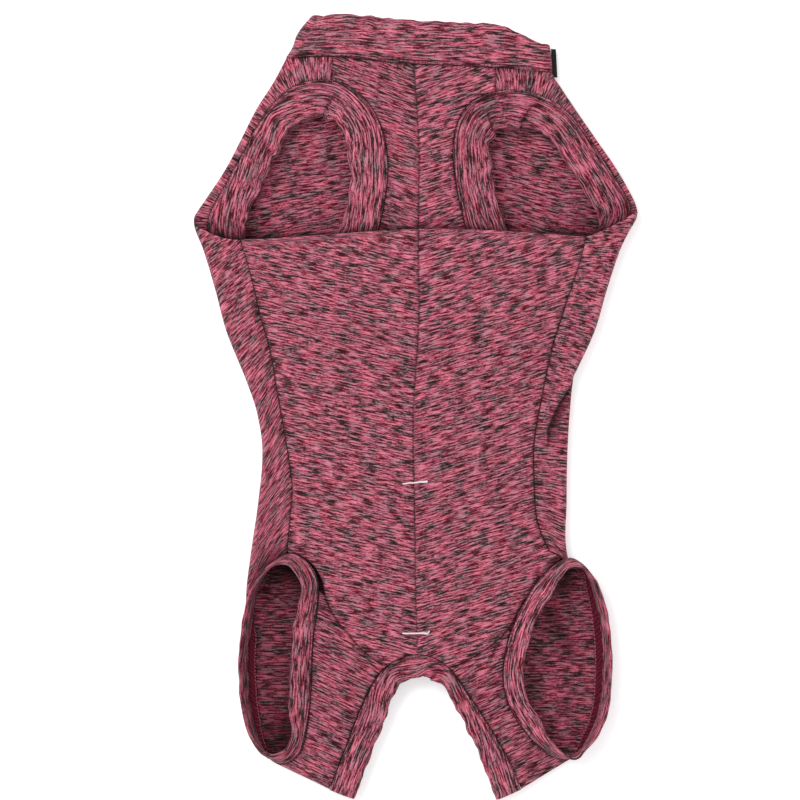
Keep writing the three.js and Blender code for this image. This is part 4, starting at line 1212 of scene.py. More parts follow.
@dataclass
class ClothPiece:
    """A sheet of cloth: a grid shaped point by point, given its thickness and its finish.

    A subclass says where a share u across and a share v along lies, and how the knit's courses run there.
    """

    name: str
    nodes: tuple[str, ...]
    columns: int
    rows: int
    cut: tuple[float, float]
    cut_area: float | None = None
    lay: Lay = Lay.LAID
    rests_on: tuple[str, ...] = ()
    finish: Finish = PANEL_JERSEY
    # Finish of the inner faces: the jersey's copy with painted shade.
    shaded_inner_finish: Finish | None = None
    thickness: float = JERSEY
    ring: bool = False
    carries: tuple[Piece, ...] = ()
    # Share of light painted into the whole piece's colour.
    lit: float = 1.0

    def point(self, u: float, v: float) -> Vector:
        """Place of a share across and a share along, in the middle of the cloth."""
        raise NotImplementedError

    def grain(self, u: float, v: float, point: Vector) -> tuple[float, float]:
        """Millimetres along the courses and across them, for the knit's pattern."""
        return point.x, point.y

    def seam_place(self, u: float, v: float, point: Vector) -> tuple[float, float]:
        """Millimetres from the nearest seam and along it."""
        return FAR, point.y

    def shade(self, u: float, v: float, point: Vector) -> float:
        """Share of the light that reaches the outer face, 1 where it lies open."""
        return 1.0

    def inner_shade(self, u: float, v: float, point: Vector) -> float:
        """Share of the light that reaches the inner face."""
        return 1.0

    def build(self) -> bpy.types.Object:
        """Makes the sheet, dresses it and fastens it to the suit's root.

        Returns:
            The finished piece.
        """
        shape = bmesh.new()
        for name in (GRAIN, SEAM):
            shape.loops.layers.uv.new(name)
        for name in (SHADE, INNER_SHADE):
            shape.verts.layers.float.new(name)
        grains, seams = (shape.loops.layers.uv[name] for name in (GRAIN, SEAM))
        outer, inner = (shape.verts.layers.float[name] for name in (SHADE, INNER_SHADE))
        bmesh.ops.create_grid(shape, x_segments=self.columns, y_segments=self.rows, size=1.0)
        places = {}
        for vertex in shape.verts:
            u, v = (vertex.co.x + 1) / 2, (vertex.co.y + 1) / 2
            vertex.co = self.point(u, v)
            vertex.co.z = max(vertex.co.z, self.thickness / 2)
            places[vertex] = (self.grain(u, v, vertex.co), self.seam_place(u, v, vertex.co))
            # Painted shade: the outer faces' share of light times the piece's painted light, and the inner faces'
            # share.
            vertex[outer] = self.shade(u, v, vertex.co) * self.lit
            vertex[inner] = self.inner_shade(u, v, vertex.co)
        for face in shape.faces:
            for loop in face.loops:
                loop[grains].uv, loop[seams].uv = places[loop.vert]
        if self.ring:
            bmesh.ops.remove_doubles(shape, verts=shape.verts[:], dist=1e-3)
        bmesh.ops.recalc_face_normals(shape, faces=shape.faces[:])
        if self.shaded_inner_finish is not None and self.faces_in(shape):
            bmesh.ops.reverse_faces(shape, faces=shape.faces[:])
        to_metres(shape)
        piece = mesh_object(shape, self.name, WARDROBE.of(self.finish))
        wall = thicken(piece, self.thickness)
        wall.use_even_offset = True
        # The inner faces take the copy of the finish with painted shade.
        if self.shaded_inner_finish is not None:
            piece.data.materials.append(WARDROBE.of(self.shaded_inner_finish))
            wall.material_offset = 1
        self.fasten(piece)
        return piece

    def faces_in(self, shape: bmesh.types.BMesh) -> bool:
        """Whether the sheet's faces point into the suit; its upper faces should point up and its lower ones down."""
        middle = max(face.calc_center_median().z for face in shape.faces) / 2
        outward = sum(
            face.normal.z * (1 if face.calc_center_median().z > middle else -1) * face.calc_area()
            for face in shape.faces
        )
        return outward < 0

    def fasten(self, piece: bpy.types.Object) -> None:
        """Args:
            piece: the finished sheet.
        """
        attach(piece, "root")
        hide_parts(*self.nodes)
        tuple(side * MM for side in self.cut)
        list(self.rests_on)
        [carried.build() for carried in self.carries]


@dataclass
class DoubledBand(ClothPiece):
    """A band of knit folded lengthwise, with both its edges in one seam and its fold free.

    A subclass gives the middle of the band at a share round it and a share of its width from the seam.
    """

    finish: Finish = BAND_JERSEY
    thickness: float = BAND_LAYER
    ring: bool = True
    puff: float = 0.62
    rim: float = 0.55
    fold_share: float = 0.14
    pucker: float = 0.3
    sway: float = 1.1
    laps: tuple[float, ...] = (0.0,)
    slant: float = 0.45
    step: float = 1.2
    kink_dark: float = 0.78
    kink_reach: float = 2.2
    seed: float = 0.0
    frames: dict[float, tuple[Vector, Vector]] = field(default_factory=dict)

    def middle(self, u: float, t: float) -> Vector:
        """Middle of the band at a share round it and a share of its width."""
        raise NotImplementedError

    def width_at(self, u: float) -> float:
        """The band's width at a share round it."""
        u %= 1.0
        return max((self.middle(u, 1) - self.middle(u, 0)).length, 1.0)

    def tape(self) -> Tape:
        """The band's sewn edge, measured."""
        if not hasattr(self, "_tape"):
            self._tape = Tape(lambda u: self.middle(u, 0.5), 160)
        return self._tape

    def frame(self, u: float) -> tuple[Vector, Vector]:
        """The band's upward normal and its direction to the free edge, at a share round it."""
        key = round(u % 1.0, 7)
        if key not in self.frames:
            step = 0.002
            along = self.middle((key + step) % 1, 0.5) - self.middle((key - step) % 1, 0.5)
            reach = (self.middle(key, 1) - self.middle(key, 0)).normalized()
            self.frames[key] = (along.cross(reach).normalized(), reach)
        return self.frames[key]

    def across(self, v: float, width: float) -> tuple[float, float, float]:
        """Where a share round the folded section lies.

        Args:
            v: share round the section, out on one layer, round the fold and back on the other.
            width: the band's width.

        Returns:
            The share of the width, the distance above the band's middle, and the distance past the fold's centre.
        """
        half = (1 - self.fold_share) / 2
        flat = 1 - self.rim / width
        if half <= v <= 1 - half:
            angle = math.pi * (v - half) / self.fold_share
            return flat, self.rim * math.cos(angle), self.rim * math.sin(angle)
        t = min(v, 1 - v) / half
        apart = mix(0.42, self.rim, t) + self.puff * math.sin(math.pi * t) ** 0.8 * 0.45
        return t * flat, apart if v < half else -apart, 0.0

    def past_lap(self, run: float, reach: float) -> float:
        """Signed distance round the band from the nearest of its joints and kinks, which cross it at a slant."""
        length = self.tape().length
        along = run + self.slant * reach
        return min(((along - lap * length + length / 2) % length - length / 2 for lap in self.laps), key=abs)

    def point(self, u: float, v: float) -> Vector:
        """Place on the folded section, with gathers at the seam, a wavy free edge and the overlapped ends."""
        u %= 1.0
        normal, reach = self.frame(u)
        width = self.width_at(u)
        share, apart, past = self.across(v, width)
        run = self.tape().run(u)
        joint = self.past_lap(run, share * width)
        step = smooth(joint, -0.6, 0.6) * smooth(joint, 11, 3)
        fade = clamp(min(u, 1 - u) * 30)
        gather = seam_pucker(share * width, run, self.seed, self.pucker)
        gather += 0.9 * bell(joint, 8) * noise.noise(Vector((run / 3.4, share * 2.5, self.seed + 2.0)))
        wave = 0.5 * share * noise.noise(Vector((run / 9.0, share, self.seed + 4.0)))
        sway = self.sway * share**2 * noise.noise(Vector((run / 6.5, 0.5, self.seed + 9.0)))
        out = past + sway * fade + 2.2 * step * share**2
        return self.middle(u, share) + normal * (apart + (gather + wave) * fade + self.step * step) + reach * out

    def grain(self, u: float, v: float, point: Vector) -> tuple[float, float]:
        """Courses run along the band."""
        return self.tape().run(u), v * 2 * self.width_at(u)

    def seam_place(self, u: float, v: float, point: Vector) -> tuple[float, float]:
        """From the sewn edge."""
        width = self.width_at(u)
        return self.across(v, width)[0] * width + 0.35, self.tape().run(u)

    def shade(self, u: float, v: float, point: Vector) -> float:
        """Dark beside the raised side of a joint or kink, towards the free edge."""
        width = self.width_at(u)
        away = self.across(v, width)[0] * width
        joint = self.past_lap(self.tape().run(u), away)
        deep = smooth(away / width, 0.25, 0.55) * smooth(joint, 0.8, -0.4)
        return 1 - self.kink_dark * deep * math.exp(min(joint, 0) / self.kink_reach)


@dataclass
class ArmBand(DoubledBand):
    """The doubled band round a front leg hole."""

    side: Side = Side.LEFT
    width: float = 23.0

    def middle(self, u: float, t: float) -> Vector:
        """Middle of the band, laid at the chest's level."""
        rows = ARM_LOOPS[self.side]
        root = SUIT.arm_point(self.side, (u % 1.0) * len(rows), 0)
        reach = SEWN_GAP + t * self.width * round_rows(rows, "band", u)
        point = root + SUIT.to_middle(ARM_MIDDLES[self.side], root) * reach
        return laid(point, SUIT.chest_level)

    def shade(self, u: float, v: float, point: Vector) -> float:
        """Dark in the nook above the belly's fold, and beside the kinks."""
        return SUIT.nook(point.x, point.y) * super().shade(u, v, point)


@dataclass
class LegBand(DoubledBand):
    """The doubled band round a hind leg hole, its near side flat and its far side standing."""

    side: Side = Side.LEFT
    width: float = 12.0

    def middle(self, u: float, t: float) -> Vector:
        """Middle of the band, leaning as the loop's table says."""
        rows = LEG_LOOPS[self.side]
        lean = math.radians(round_rows(rows, "lean", u))
        seam = SUIT.leg_point(self.side, (u % 1.0) * len(rows), 0)
        way = SUIT.to_middle(LEG_MIDDLES[self.side], seam) * math.cos(lean)
        way.z = math.sin(lean)
        start = SEWN_GAP + abs(math.sin(lean)) * (JERSEY / 2 + SEWN_GAP)
        return seam + way * (start + t * self.width)

    def shade(self, u: float, v: float, point: Vector) -> float:
        """Dimmer on the far side, whose inner face leans away from the light."""
        rows = LEG_LOOPS[self.side]
        lean = rows[int((u % 1.0) * len(rows))].lean
        return mix(1.0, 0.86, smooth(lean, 60, 100)) * super().shade(u, v, point)


@dataclass
class RearBand(DoubledBand):
    """The doubled band round the rear end, an arch on the upper layer and the same on the lower one."""

    width: float = 15.0

    def middle(self, u: float, t: float) -> Vector:
        """Middle of the band: along the upper arch, round the right hem, back below and round the left hem."""
        part, value = ring_part(u)
        low = BAND_ROOM / 2
        flat = part in (RingPart.UPPER, RingPart.LOWER)
        end = 1 if part is RingPart.RIGHT_TURN else 0
        place = value if flat else float(end)
        distance = SEWN_GAP + t * self.width * SUIT.arch_widths(place)
        point = SUIT.beside_arch(place, distance)
        if part is RingPart.UPPER:
            return laid(point, SUIT.belly_height)
        if part is RingPart.LOWER:
            return Vector((point.x, point.y, low))
        return SUIT.arch_turn(end, distance, SUIT.belly_height(point.x, point.y), low, value)


@dataclass
class Collar(DoubledBand):
    """The doubled collar, lying as a flat ring."""

    turn: float = 4.0

    def middle(self, u: float, t: float) -> Vector:
        """Middle of the collar: over the upper layer, round the right fold, back below, round the left fold."""
        seam, rim = (self._line(u, line) for line in (SUIT.collar_seam, SUIT.collar_rim))
        return seam.lerp(rim, t)

    def _line(self, u: float, row: Track) -> Vector:
        """One edge of the collar at a share round it."""
        left, right = SUIT.fold_point(Side.LEFT, row(-1)), SUIT.fold_point(Side.RIGHT, row(1))
        low = BAND_ROOM / 2
        part, value = ring_part(u)
        ends = {RingPart.RIGHT_TURN: 1.0, RingPart.LEFT_TURN: 0.0}
        place = ends.get(part, value)
        x = mix(left.x + self.turn, right.x - self.turn, place)
        top = laid(Vector((x, lengthwise(row(mix(-1, 1, place))), 0)), SUIT.chest_height)
        if part is RingPart.UPPER:
            return top
        if part is RingPart.LOWER:
            return Vector((top.x, top.y, low))
        way = 1 if part is RingPart.RIGHT_TURN else -1
        z = (top.z + low) / 2 + (top.z - low) / 2 * math.cos(value)
        return Vector((top.x + way * self.turn * math.sin(value), top.y, z))


@dataclass
class ChestHalf(ClothPiece):
    """One chest panel, from the collar to the seam under the pleat."""

    side: Side = Side.LEFT

    def outer(self, v: float) -> Vector:
        """Outer edge: down the shoulder seam, then round the front leg's band."""
        place = v * EDGE_STEPS
        if place < COLLAR_STEPS:
            return shoulder_seam(self.side, place / COLLAR_STEPS, -self.side.sign * SEWN_GAP)
        index = (place - COLLAR_STEPS) / (EDGE_STEPS - COLLAR_STEPS) * CHEST_LAST
        return SUIT.arm_point(self.side, index, SEWN_GAP)

    def inner(self, v: float) -> Vector:
        """Edge at the centre seam."""
        return beside_centre(self.side, mix(SUIT.collar_seam_at(0), CHEST_END, v))

    def point(self, u: float, v: float) -> Vector:
        """Between the outer edge and the centre seam, laid at the chest's level."""
        outer, inner = self.outer(v), self.inner(v)
        point = outer.lerp(inner, u)
        if v < 0.01:
            level = lengthwise(SUIT.collar_seam_at(point.x)) - SEWN_GAP
            point.y = mix(point.y, level, smooth(v, 0.25, 0.0))
        near = min(u, 1 - u) * (inner - outer).length
        top = SUIT.from_collar(point)
        z = SUIT.chest_level(point.x, point.y)
        z += seam_dip(near) + seam_dip(top)
        z += seam_pucker(near, point.y, 11.0 * self.side.sign)
        z += seam_pucker(top, point.x, 3.3, 0.45)
        z += 0.35 * ripple(point.x, point.y, 22, 2.0 * self.side.sign)
        return Vector((point.x, point.y, z))

    def seam_place(self, u: float, v: float, point: Vector) -> tuple[float, float]:
        """From the collar's seam, the centre seam, or the seam to the shoulder and the band."""
        width = (self.inner(v) - self.outer(v)).length
        top = SUIT.from_collar(point)
        sides = min(u * width + 0.45, (1 - u) * width * 1.8 + 0.58)
        return (top + 0.45, point.x) if top < sides else (sides, point.y)

    def shade(self, u: float, v: float, point: Vector) -> float:
        """Dark in the nook above the belly's fold."""
        return SUIT.nook(point.x, point.y)

    def grain(self, u: float, v: float, point: Vector) -> tuple[float, float]:
        """Courses fall towards the middle of the chest."""
        slope = math.tan(math.radians(CUTS[self.side].chest_slope)) * self.side.sign
        return slanted(point.x, point.y, slope, CHEST_DYE * self.side.sign)


def shoulder_seam(side: Side, t: float, shift: float) -> Vector:
    """Point of the seam between chest and shoulder panel.

    Args:
        side: the suit's side.
        t: share of the way down from the collar.
        shift: how far to the side of the seam.

    Returns:
        The point in plan.
    """
    x = CUTS[side].shoulder_x * HALF_WIDTH + shift
    top = lengthwise(SUIT.collar_seam_at(x)) - SEWN_GAP
    foot = lengthwise(ARM_LOOPS[side][0].at) + SEWN_GAP
    return Vector((x, mix(top, foot, t), 0))


@dataclass
class WrappedPanel(ClothPiece):
    """A panel that wraps a side fold, from its upper seam round the fold to its lower seam."""

    side: Side = Side.LEFT
    turn: float = 4.0
    lip_share: float = 0.55
    arc_share: float = 0.27
    seed: float = 0.0

    def seam(self, v: float) -> Vector:
        """Point of the upper seam."""
        raise NotImplementedError

    def station(self, v: float) -> float:
        """Share of the length at which the row meets the side fold."""
        raise NotImplementedError

    def height(self, x: float, y: float) -> float:
        """Height of the panel's upper part."""
        raise NotImplementedError

    def bow(self, v: float) -> float:
        """How far the row's upper part curves forward."""
        return 0.0

    def surface(self, u: float, v: float) -> Vector:
        """Place on the row before the cloth's own unevenness."""
        at = self.station(v)
        seam, fold, under = self.seam(v), SUIT.fold_point(self.side, at), SUIT.inside_fold(self.side, at)
        outwards = Vector((*(fold.xy - seam.xy), 0)).normalized()
        inwards = Vector((*(under.xy - fold.xy), 0)).normalized()
        turn = laid(fold - outwards * self.turn, self.height)
        if u < self.lip_share:
            t = u / self.lip_share
            point = Vector((*seam.xy.lerp(turn.xy, t), 0))
            point.y += self.bow(v) * math.sin(math.pi * t)
            return laid(point, self.height)
        centre = (turn.z + UNDER) / 2
        if u < self.lip_share + self.arc_share:
            angle = math.pi * (u - self.lip_share) / self.arc_share
            short = self.turn * (1 - math.sin(angle))
            way = outwards * -short if angle < math.pi / 2 else inwards * short
            point = fold + way
            point.z = centre + (turn.z - centre) * math.cos(angle)
            return point
        t = (u - self.lip_share - self.arc_share) / (1 - self.lip_share - self.arc_share)
        start = fold + inwards * self.turn
        return Vector((*start.xy.lerp(under.xy, t), UNDER))

    def point(self, u: float, v: float) -> Vector:
        """Place on the row, with the dip and gathers at the seam."""
        point = self.surface(u, v)
        seam = self.seam(v)
        near = (point.xy - seam.xy).length
        upper = smooth(u, self.lip_share + self.arc_share * 0.4, self.lip_share * 0.7)
        lift = seam_dip(near) + seam_pucker(near, seam.y, self.seed, 0.5)
        lift += 0.45 * ripple(point.x, point.y, 18, self.seed + 7)
        point.z += lift * upper
        return point

    def seam_place(self, u: float, v: float, point: Vector) -> tuple[float, float]:
        """From the panel's upper seam."""
        seam = self.seam(v)
        return (point.xy - seam.xy).length * 1.15 + 0.1, seam.y

    def row_tape(self, v: float) -> Tape:
        """One row across the panel, measured."""
        if not hasattr(self, "_tapes"):
            self._tapes: dict[float, Tape] = {}
        key = round(v, 5)
        if key not in self._tapes:
            self._tapes[key] = Tape(lambda u: self.surface(u, v), 40)
        return self._tapes[key]

    def slope(self, y: float) -> float:
        """Slope of the courses across the panel, from the seam outwards."""
        return 0.0

    def grain(self, u: float, v: float, point: Vector) -> tuple[float, float]:
        """Courses run across the panel at its own slope."""
        seam = self.seam(v)
        run = self.row_tape(v).run(u) * self.side.sign
        return slanted(run, seam.y, self.slope(seam.y), SIDE_DYE * self.side.sign)


@dataclass
class ShoulderPanel(WrappedPanel):
    """The panel from the collar round the outside of a front leg hole."""

    def __post_init__(self) -> None:
        """Measures the seam that the panel shares with the chest and the band."""
        count = len(ARM_LOOPS[self.side])

        def line(t: float) -> Vector:
            place = t * EDGE_STEPS
            if place < COLLAR_STEPS:
                return shoulder_seam(self.side, place / COLLAR_STEPS, self.side.sign * SEWN_GAP)
            share = (place - COLLAR_STEPS) / (EDGE_STEPS - COLLAR_STEPS)
            return SUIT.arm_point(self.side, mix(count, SHOULDER_LAST, share), SEWN_GAP)

        self._seam = Tape(line, 160)

    def seam(self, v: float) -> Vector:
        """Point of the seam to the chest and the front leg's band."""
        return self._seam.even(v)

    def station(self, v: float) -> float:
        """Share of the length at which the row meets the side fold."""
        start = SUIT.collar_seam_at(SUIT.fold_point(self.side, 0.06).x) + SEWN_GAP / LENGTH
        return mix(start, CUTS[self.side].shoulder_end, SUIT.shoulder_rows(v))

    def height(self, x: float, y: float) -> float:
        """The chest's level."""
        return SUIT.chest_level(x, y)

    def seam_place(self, u: float, v: float, point: Vector) -> tuple[float, float]:
        """From the collar's seam or the panel's own upper seam."""
        top = SUIT.from_collar(point)
        away, run = super().seam_place(u, v, point)
        return (top + 0.45, point.x) if top < away else (away + 0.45, run)

    def shade(self, u: float, v: float, point: Vector) -> float:
        """Dark in the nook above the belly's fold."""
        return SUIT.nook(point.x, point.y)

    def grain(self, u: float, v: float, point: Vector) -> tuple[float, float]:
        """Courses stand square to the strip, like rays from the front leg's hole."""
        start, end = (spot(row).xy for row in ARM_MIDDLES[self.side])
        line = end - start
        t = share_along(start, line, point.xy)
        ray = point.xy - start - line * t
        turn = math.atan2(ray.x * -line.y + ray.y * line.x, -ray.dot(line))
        sign = 1 if turn > 0 else -1
        return ray.length + SHOULDER_DYE * self.side.sign, turn * 52 + sign * t * line.length


@dataclass
class SidePanel(WrappedPanel):
    """The panel that wraps a side fold behind the pleat."""

    drop: float = 3.0
    tuck_lip: float = 1.3
    tuck_dark: float = 0.88
    tuck_reach: tuple[float, float] = (2.4, 6.0)
    leg_dip: float = 2.0
    inner_light: float = 0.8

    def seam(self, v: float) -> Vector:
        """Point of the seam to the belly."""
        return beside_side_seam(self.side, mix(*CUTS[self.side].seam_ends, v), SEWN_GAP)

    def station(self, v: float) -> float:
        """Share of the length at which the row meets the side fold."""
        return mix(*CUTS[self.side].fold_ends, v)

    def height(self, x: float, y: float) -> float:
        """The belly's level."""
        return SUIT.belly_height(x, y)

    def bow(self, v: float) -> float:
        """The rear edge curves forward round the leg's band, and the front one back before the fold's corner."""
        cut = CUTS[self.side]
        return cut.rear_bow * LENGTH * v**6 - cut.front_bow * math.exp(-v * 28)

    def point(self, u: float, v: float) -> Vector:
        """Place on the row, dropped beyond the right side's tuck and before the leg's band."""
        point = super().point(u, v)
        upper = smooth(u, self.lip_share + self.arc_share * 0.5, self.lip_share * 0.9)
        if self.side is Side.RIGHT:
            beyond, depth = SUIT.tuck(point.x, point.y)
            drop = smooth(beyond, -0.3, 1.1) * self.drop - bell(beyond + 1.8, 1.8) * self.tuck_lip
            point.z -= drop * depth * upper
        else:
            point.z -= self.leg_dip * math.exp(-SUIT.from_leg(self.side, point) / 4.0) * upper
        return point

    def shade(self, u: float, v: float, point: Vector) -> float:
        """Dark under the tuck's edge and beside the leg's band."""
        light = 1 - CUTS[self.side].side_dark * math.exp(-SUIT.from_leg(self.side, point) / 5.5)
        if self.side is Side.RIGHT:
            beyond, depth = SUIT.tuck(point.x, point.y)
            wedge = mix(*self.tuck_reach, smooth(share_of(point.y), 0.47, 0.51))
            light *= 1 - self.tuck_dark * depth * smooth(beyond, -0.4, 0.4) * bell(max(beyond, 0), wedge)
        return light

    def inner_shade(self, u: float, v: float, point: Vector) -> float:
        """Dim inside the suit, and as dim as the legs at the rear."""
        return mix(self.inner_light, SUIT.leg_dim(point), SUIT.in_leg(point))

    def slope(self, y: float) -> float:
        """Steep at the front and level at the rear."""
        cut = CUTS[self.side]
        return -self.side.sign * mix(*cut.slopes, smooth(y, *cut.slope_span))


@dataclass
class BellyHalf(ClothPiece):
    """One belly panel, with the flat pleat folded forward over the chest."""

    side: Side = Side.LEFT
    waist: float = 0.7
    lap: float = 8.0
    groin_row: int = 10
    seam_row: int = 11
    front_row: int = 25
    shares: PleatShares = PleatShares(0.32, 0.84, 0.87, 0.94, 0.965)

    def row_at(self, v: float) -> float:
        """Row of the shown part at a share along the sheet, from 0 at the arch to the front fold's."""
        s = self.shares
        if v < s.groin:
            return mix(0, self.groin_row, v / s.groin)
        return min(mix(self.groin_row, self.front_row, (v - s.groin) / (s.front - s.groin)), self.front_row)

    def outer(self, row: float) -> Vector:
        """Outer edge at a row: up the groin, then along the side seam."""
        if row < self.groin_row:
            return SUIT.groins[self.side].at(1 - row / self.groin_row)
        start, end = CUTS[self.side].seam_ends
        at = mix(end, start, clamp((row - self.seam_row) / (self.front_row - self.seam_row)))
        seam = beside_side_seam(self.side, at, -SEWN_GAP)
        if row < self.seam_row:
            return SUIT.groins[self.side].at(0.0).lerp(seam, row - self.groin_row)
        return seam

    def inner(self, row: float) -> Vector:
        """Edge at the centre seam, at a row."""
        rear, front = ARCH_TOP - SEWN_GAP / LENGTH, SUIT.fold_at(0.0)
        if row < self.groin_row:
            return beside_centre(self.side, mix(rear, self.waist, row / self.groin_row))
        share = (row - self.groin_row) / (self.front_row - self.groin_row)
        return beside_centre(self.side, mix(self.waist, front, share))

    def upper(self, u: float, row: float) -> Vector:
        """The shown part: between its edges, eased into the arch at the rear and the fold line at the front."""
        outer, inner = self.outer(row), self.inner(row)
        point = outer.lerp(inner, u)
        if row < self.groin_row:
            arch = SUIT.arch.at(mix(ARCH_CORNERS[self.side], 0.5, u)) + Vector((0, SEWN_GAP, 0))
            straight = self.outer(0.0).lerp(self.inner(0.0), u)
            point += (arch - straight) * (1 - row / self.groin_row) ** 2
        if row > self.front_row - 5:
            front = self.outer(self.front_row).lerp(self.inner(self.front_row), u)
            line = lengthwise(SUIT.fold_at(front.x / HALF_WIDTH)) - 1.4 - CLOTH_ROOM / 2
            point.y += (line - front.y) * smooth(row, self.front_row - 5, self.front_row)
        width = (inner - outer).length
        z = SUIT.belly_height(point.x, point.y) + seam_dip(min(u, 1 - u) * width)
        z += seam_pucker(u * width, outer.y, 5.0 * self.side.sign, 0.6)
        z += seam_pucker((1 - u) * width, point.y, 6.0, 0.3)
        z += self.unevenness(point.x, point.y)
        return Vector((point.x, point.y, z))

    def unevenness(self, x: float, y: float) -> float:
        """Soft folds of the laid cloth."""
        broad = 0.9 * ripple(x, y, 70, 1.5, 80, 1.8)
        small = 0.4 * ripple(x, y, 24, 9.5, 20 * self.side.sign, 1.5)
        return broad + small + 0.12 * ripple(x, y, 8, 3.5)

    def point(self, u: float, v: float) -> Vector:
        """Shown part, front fold, hidden layer, second fold and the edge at the chest's seam."""
        s = self.shares
        if v <= s.front:
            return self.upper(u, self.row_at(v))
        front = self.upper(u, self.front_row)
        x = front.x
        clear = BAND_ROOM / 2 + LAYER_GAP + CLOTH_ROOM / 2
        end = lengthwise(CHEST_END) - SEAM_GAP
        back = end - self.lap
        if v <= s.front_fold:
            angle = math.pi * (v - s.front) / (s.front_fold - s.front)
            return self._turned(x, front.y, SUIT.chest_height(x, front.y) + clear, front.z, angle, clear / 2)
        if v <= s.hidden:
            y = mix(front.y, back, (v - s.front_fold) / (s.hidden - s.front_fold))
            return Vector((x, y, SUIT.chest_height(x, y) + clear))
        if v <= s.second_fold:
            level = SUIT.chest_height(x, back)
            angle = math.pi * (v - s.hidden) / (s.second_fold - s.hidden)
            return self._turned(x, back, level, level + clear, angle, -clear / 2)
        y = mix(back, end, (v - s.second_fold) / (1.0 - s.second_fold))
        return Vector((x, y, SUIT.chest_height(x, y)))

    @staticmethod
    def _turned(x: float, y: float, low: float, high: float, angle: float, depth: float) -> Vector:
        """Point of a fold across the suit."""
        z = (low + high) / 2 + (high - low) / 2 * math.cos(angle)
        return Vector((x, y + depth * math.sin(angle), z))

    def seam_place(self, u: float, v: float, point: Vector) -> tuple[float, float]:
        """From the groin and side seams or the centre seam."""
        row = self.row_at(v)
        width = (self.inner(row) - self.outer(row)).length
        out = u * width * 1.15 + (0.1 if row > self.seam_row else 0.35)
        return min(out, (1 - u) * width * 2.2 + 0.68), point.y

    def shade(self, u: float, v: float, point: Vector) -> float:
        """Slightly dark beside the leg's band."""
        return 1 - 0.4 * math.exp(-SUIT.from_leg(self.side, point) / 2.5)

    def grain(self, u: float, v: float, point: Vector) -> tuple[float, float]:
        """Courses fall towards the centre seam, in a V."""
        slope = math.tan(math.radians(CUTS[self.side].belly_slope)) * self.side.sign
        hidden = v - self.shares.front
        y = point.y if hidden <= 0 else lengthwise(0.275) + hidden * 260
        return slanted(point.x, y, slope, BELLY_DYE * self.side.sign)


@dataclass
class LegSleeve(ClothPiece):
    """The part of a hind leg between the belly, the rear band, the back and the leg's band."""

    side: Side = Side.LEFT

    def cuff(self, row: float) -> Vector:
        """Edge at the leg's band, at a row."""
        marks, stops = CUTS[self.side].sleeve_marks, [stop for stop in SleeveRow if stop is not SleeveRow.SIDE]
        i = max(k for k in range(len(stops) - 1) if row >= stops[k])
        index = mix(marks[i], marks[i + 1], (row - stops[i]) / (stops[i + 1] - stops[i]))
        return SUIT.leg_point(self.side, index, SEWN_GAP)

    def root(self, row: float) -> Vector:
        """Edge at the belly, the rear band and the back, at a row."""
        groin, arch, hem_row, lower, corner_row, side_row, _ = SleeveRow
        corner, hem = ARCH_CORNERS[self.side], 0 if self.side is Side.LEFT else 1
        if row < arch:
            t = mix(CUTS[self.side].groin_from / (len(GROINS[self.side]) - 1), 1, (row - groin) / (arch - groin))
            line = SUIT.groins[self.side]
            along = line.along(t)
            point = line.at(t) + Vector((-along.y, along.x, 0)) * (self.side.sign * SEWN_GAP * 2)
            return Vector((point.x, point.y, SUIT.belly_height(point.x, point.y) - 1.2))
        if row < hem_row:
            share = (row - arch) / (hem_row - arch)
            return laid(SUIT.beside_arch(mix(corner, hem, share), -SEWN_GAP), SUIT.belly_height)
        if row < lower:
            foot = SUIT.beside_arch(float(hem), -SEWN_GAP)
            high = SUIT.belly_height(foot.x, foot.y)
            return SUIT.arch_turn(hem, -SEWN_GAP, high, UNDER, math.pi * (row - hem_row) / (lower - hem_row))
        if row < corner_row:
            point = SUIT.beside_arch(mix(hem, corner, (row - lower) / (corner_row - lower)), -SEWN_GAP)
            return Vector((point.x, point.y, UNDER))
        end = spot(LOWER_CORNERS[self.side], UNDER + JERSEY + SEWN_GAP)
        if row < side_row:
            start = SUIT.beside_arch(corner, -SEWN_GAP)
            point = start.lerp(end, (row - corner_row) / (side_row - corner_row))
            point.z = mix(UNDER, end.z, smooth(row, corner_row, corner_row + 1))
            return point
        outer = spot(SpotRow(CUTS[self.side].sleeve_x, LOWER_CORNERS[self.side].at), end.z)
        return end.lerp(outer, row - side_row)

    def point(self, u: float, v: float) -> Vector:
        """Between the root and the cuff."""
        row = v * SleeveRow.END
        root, cuff = self.root(row), self.cuff(row)
        point = root.lerp(cuff, u)
        width = (cuff - root).length
        near = min(u, 1 - u) * width
        upper = smooth(row, 14.5, 11.5)
        lift = seam_dip(near) + seam_pucker(near, row * 8, 8.0 * self.side.sign, 0.5)
        lift += 0.6 * ripple(point.x, point.y, 20, 4.0, 70, 1.6)
        point.z += lift * upper
        return point

    def seam_place(self, u: float, v: float, point: Vector) -> tuple[float, float]:
        """From the seams at the root and at the leg's band."""
        row = v * SleeveRow.END
        width = (self.cuff(row) - self.root(row)).length
        return min(u, 1 - u) * width + 0.3, row * 8

    def shade(self, u: float, v: float, point: Vector) -> float:
        """Dark in the recess beside the belly's edge."""
        row = v * SleeveRow.END
        root = (self.cuff(row) - self.root(row)).length * u
        return 1 - CUTS[self.side].sleeve_dark * smooth(row, 3.6, 1.0) * math.exp(-root / 4.5)

    def inner_shade(self, u: float, v: float, point: Vector) -> float:
        """Dim, as little light reaches into a leg."""
        return SUIT.leg_dim(point)

    def grain(self, u: float, v: float, point: Vector) -> tuple[float, float]:
        """Courses run down and in to the hem above, and level below."""
        if v > 0.5:
            return point.x + INNER_LEG_DYE * self.side.sign, point.y
        return slanted(point.x, point.y, 0.45 * self.side.sign, SLEEVE_DYE * self.side.sign)


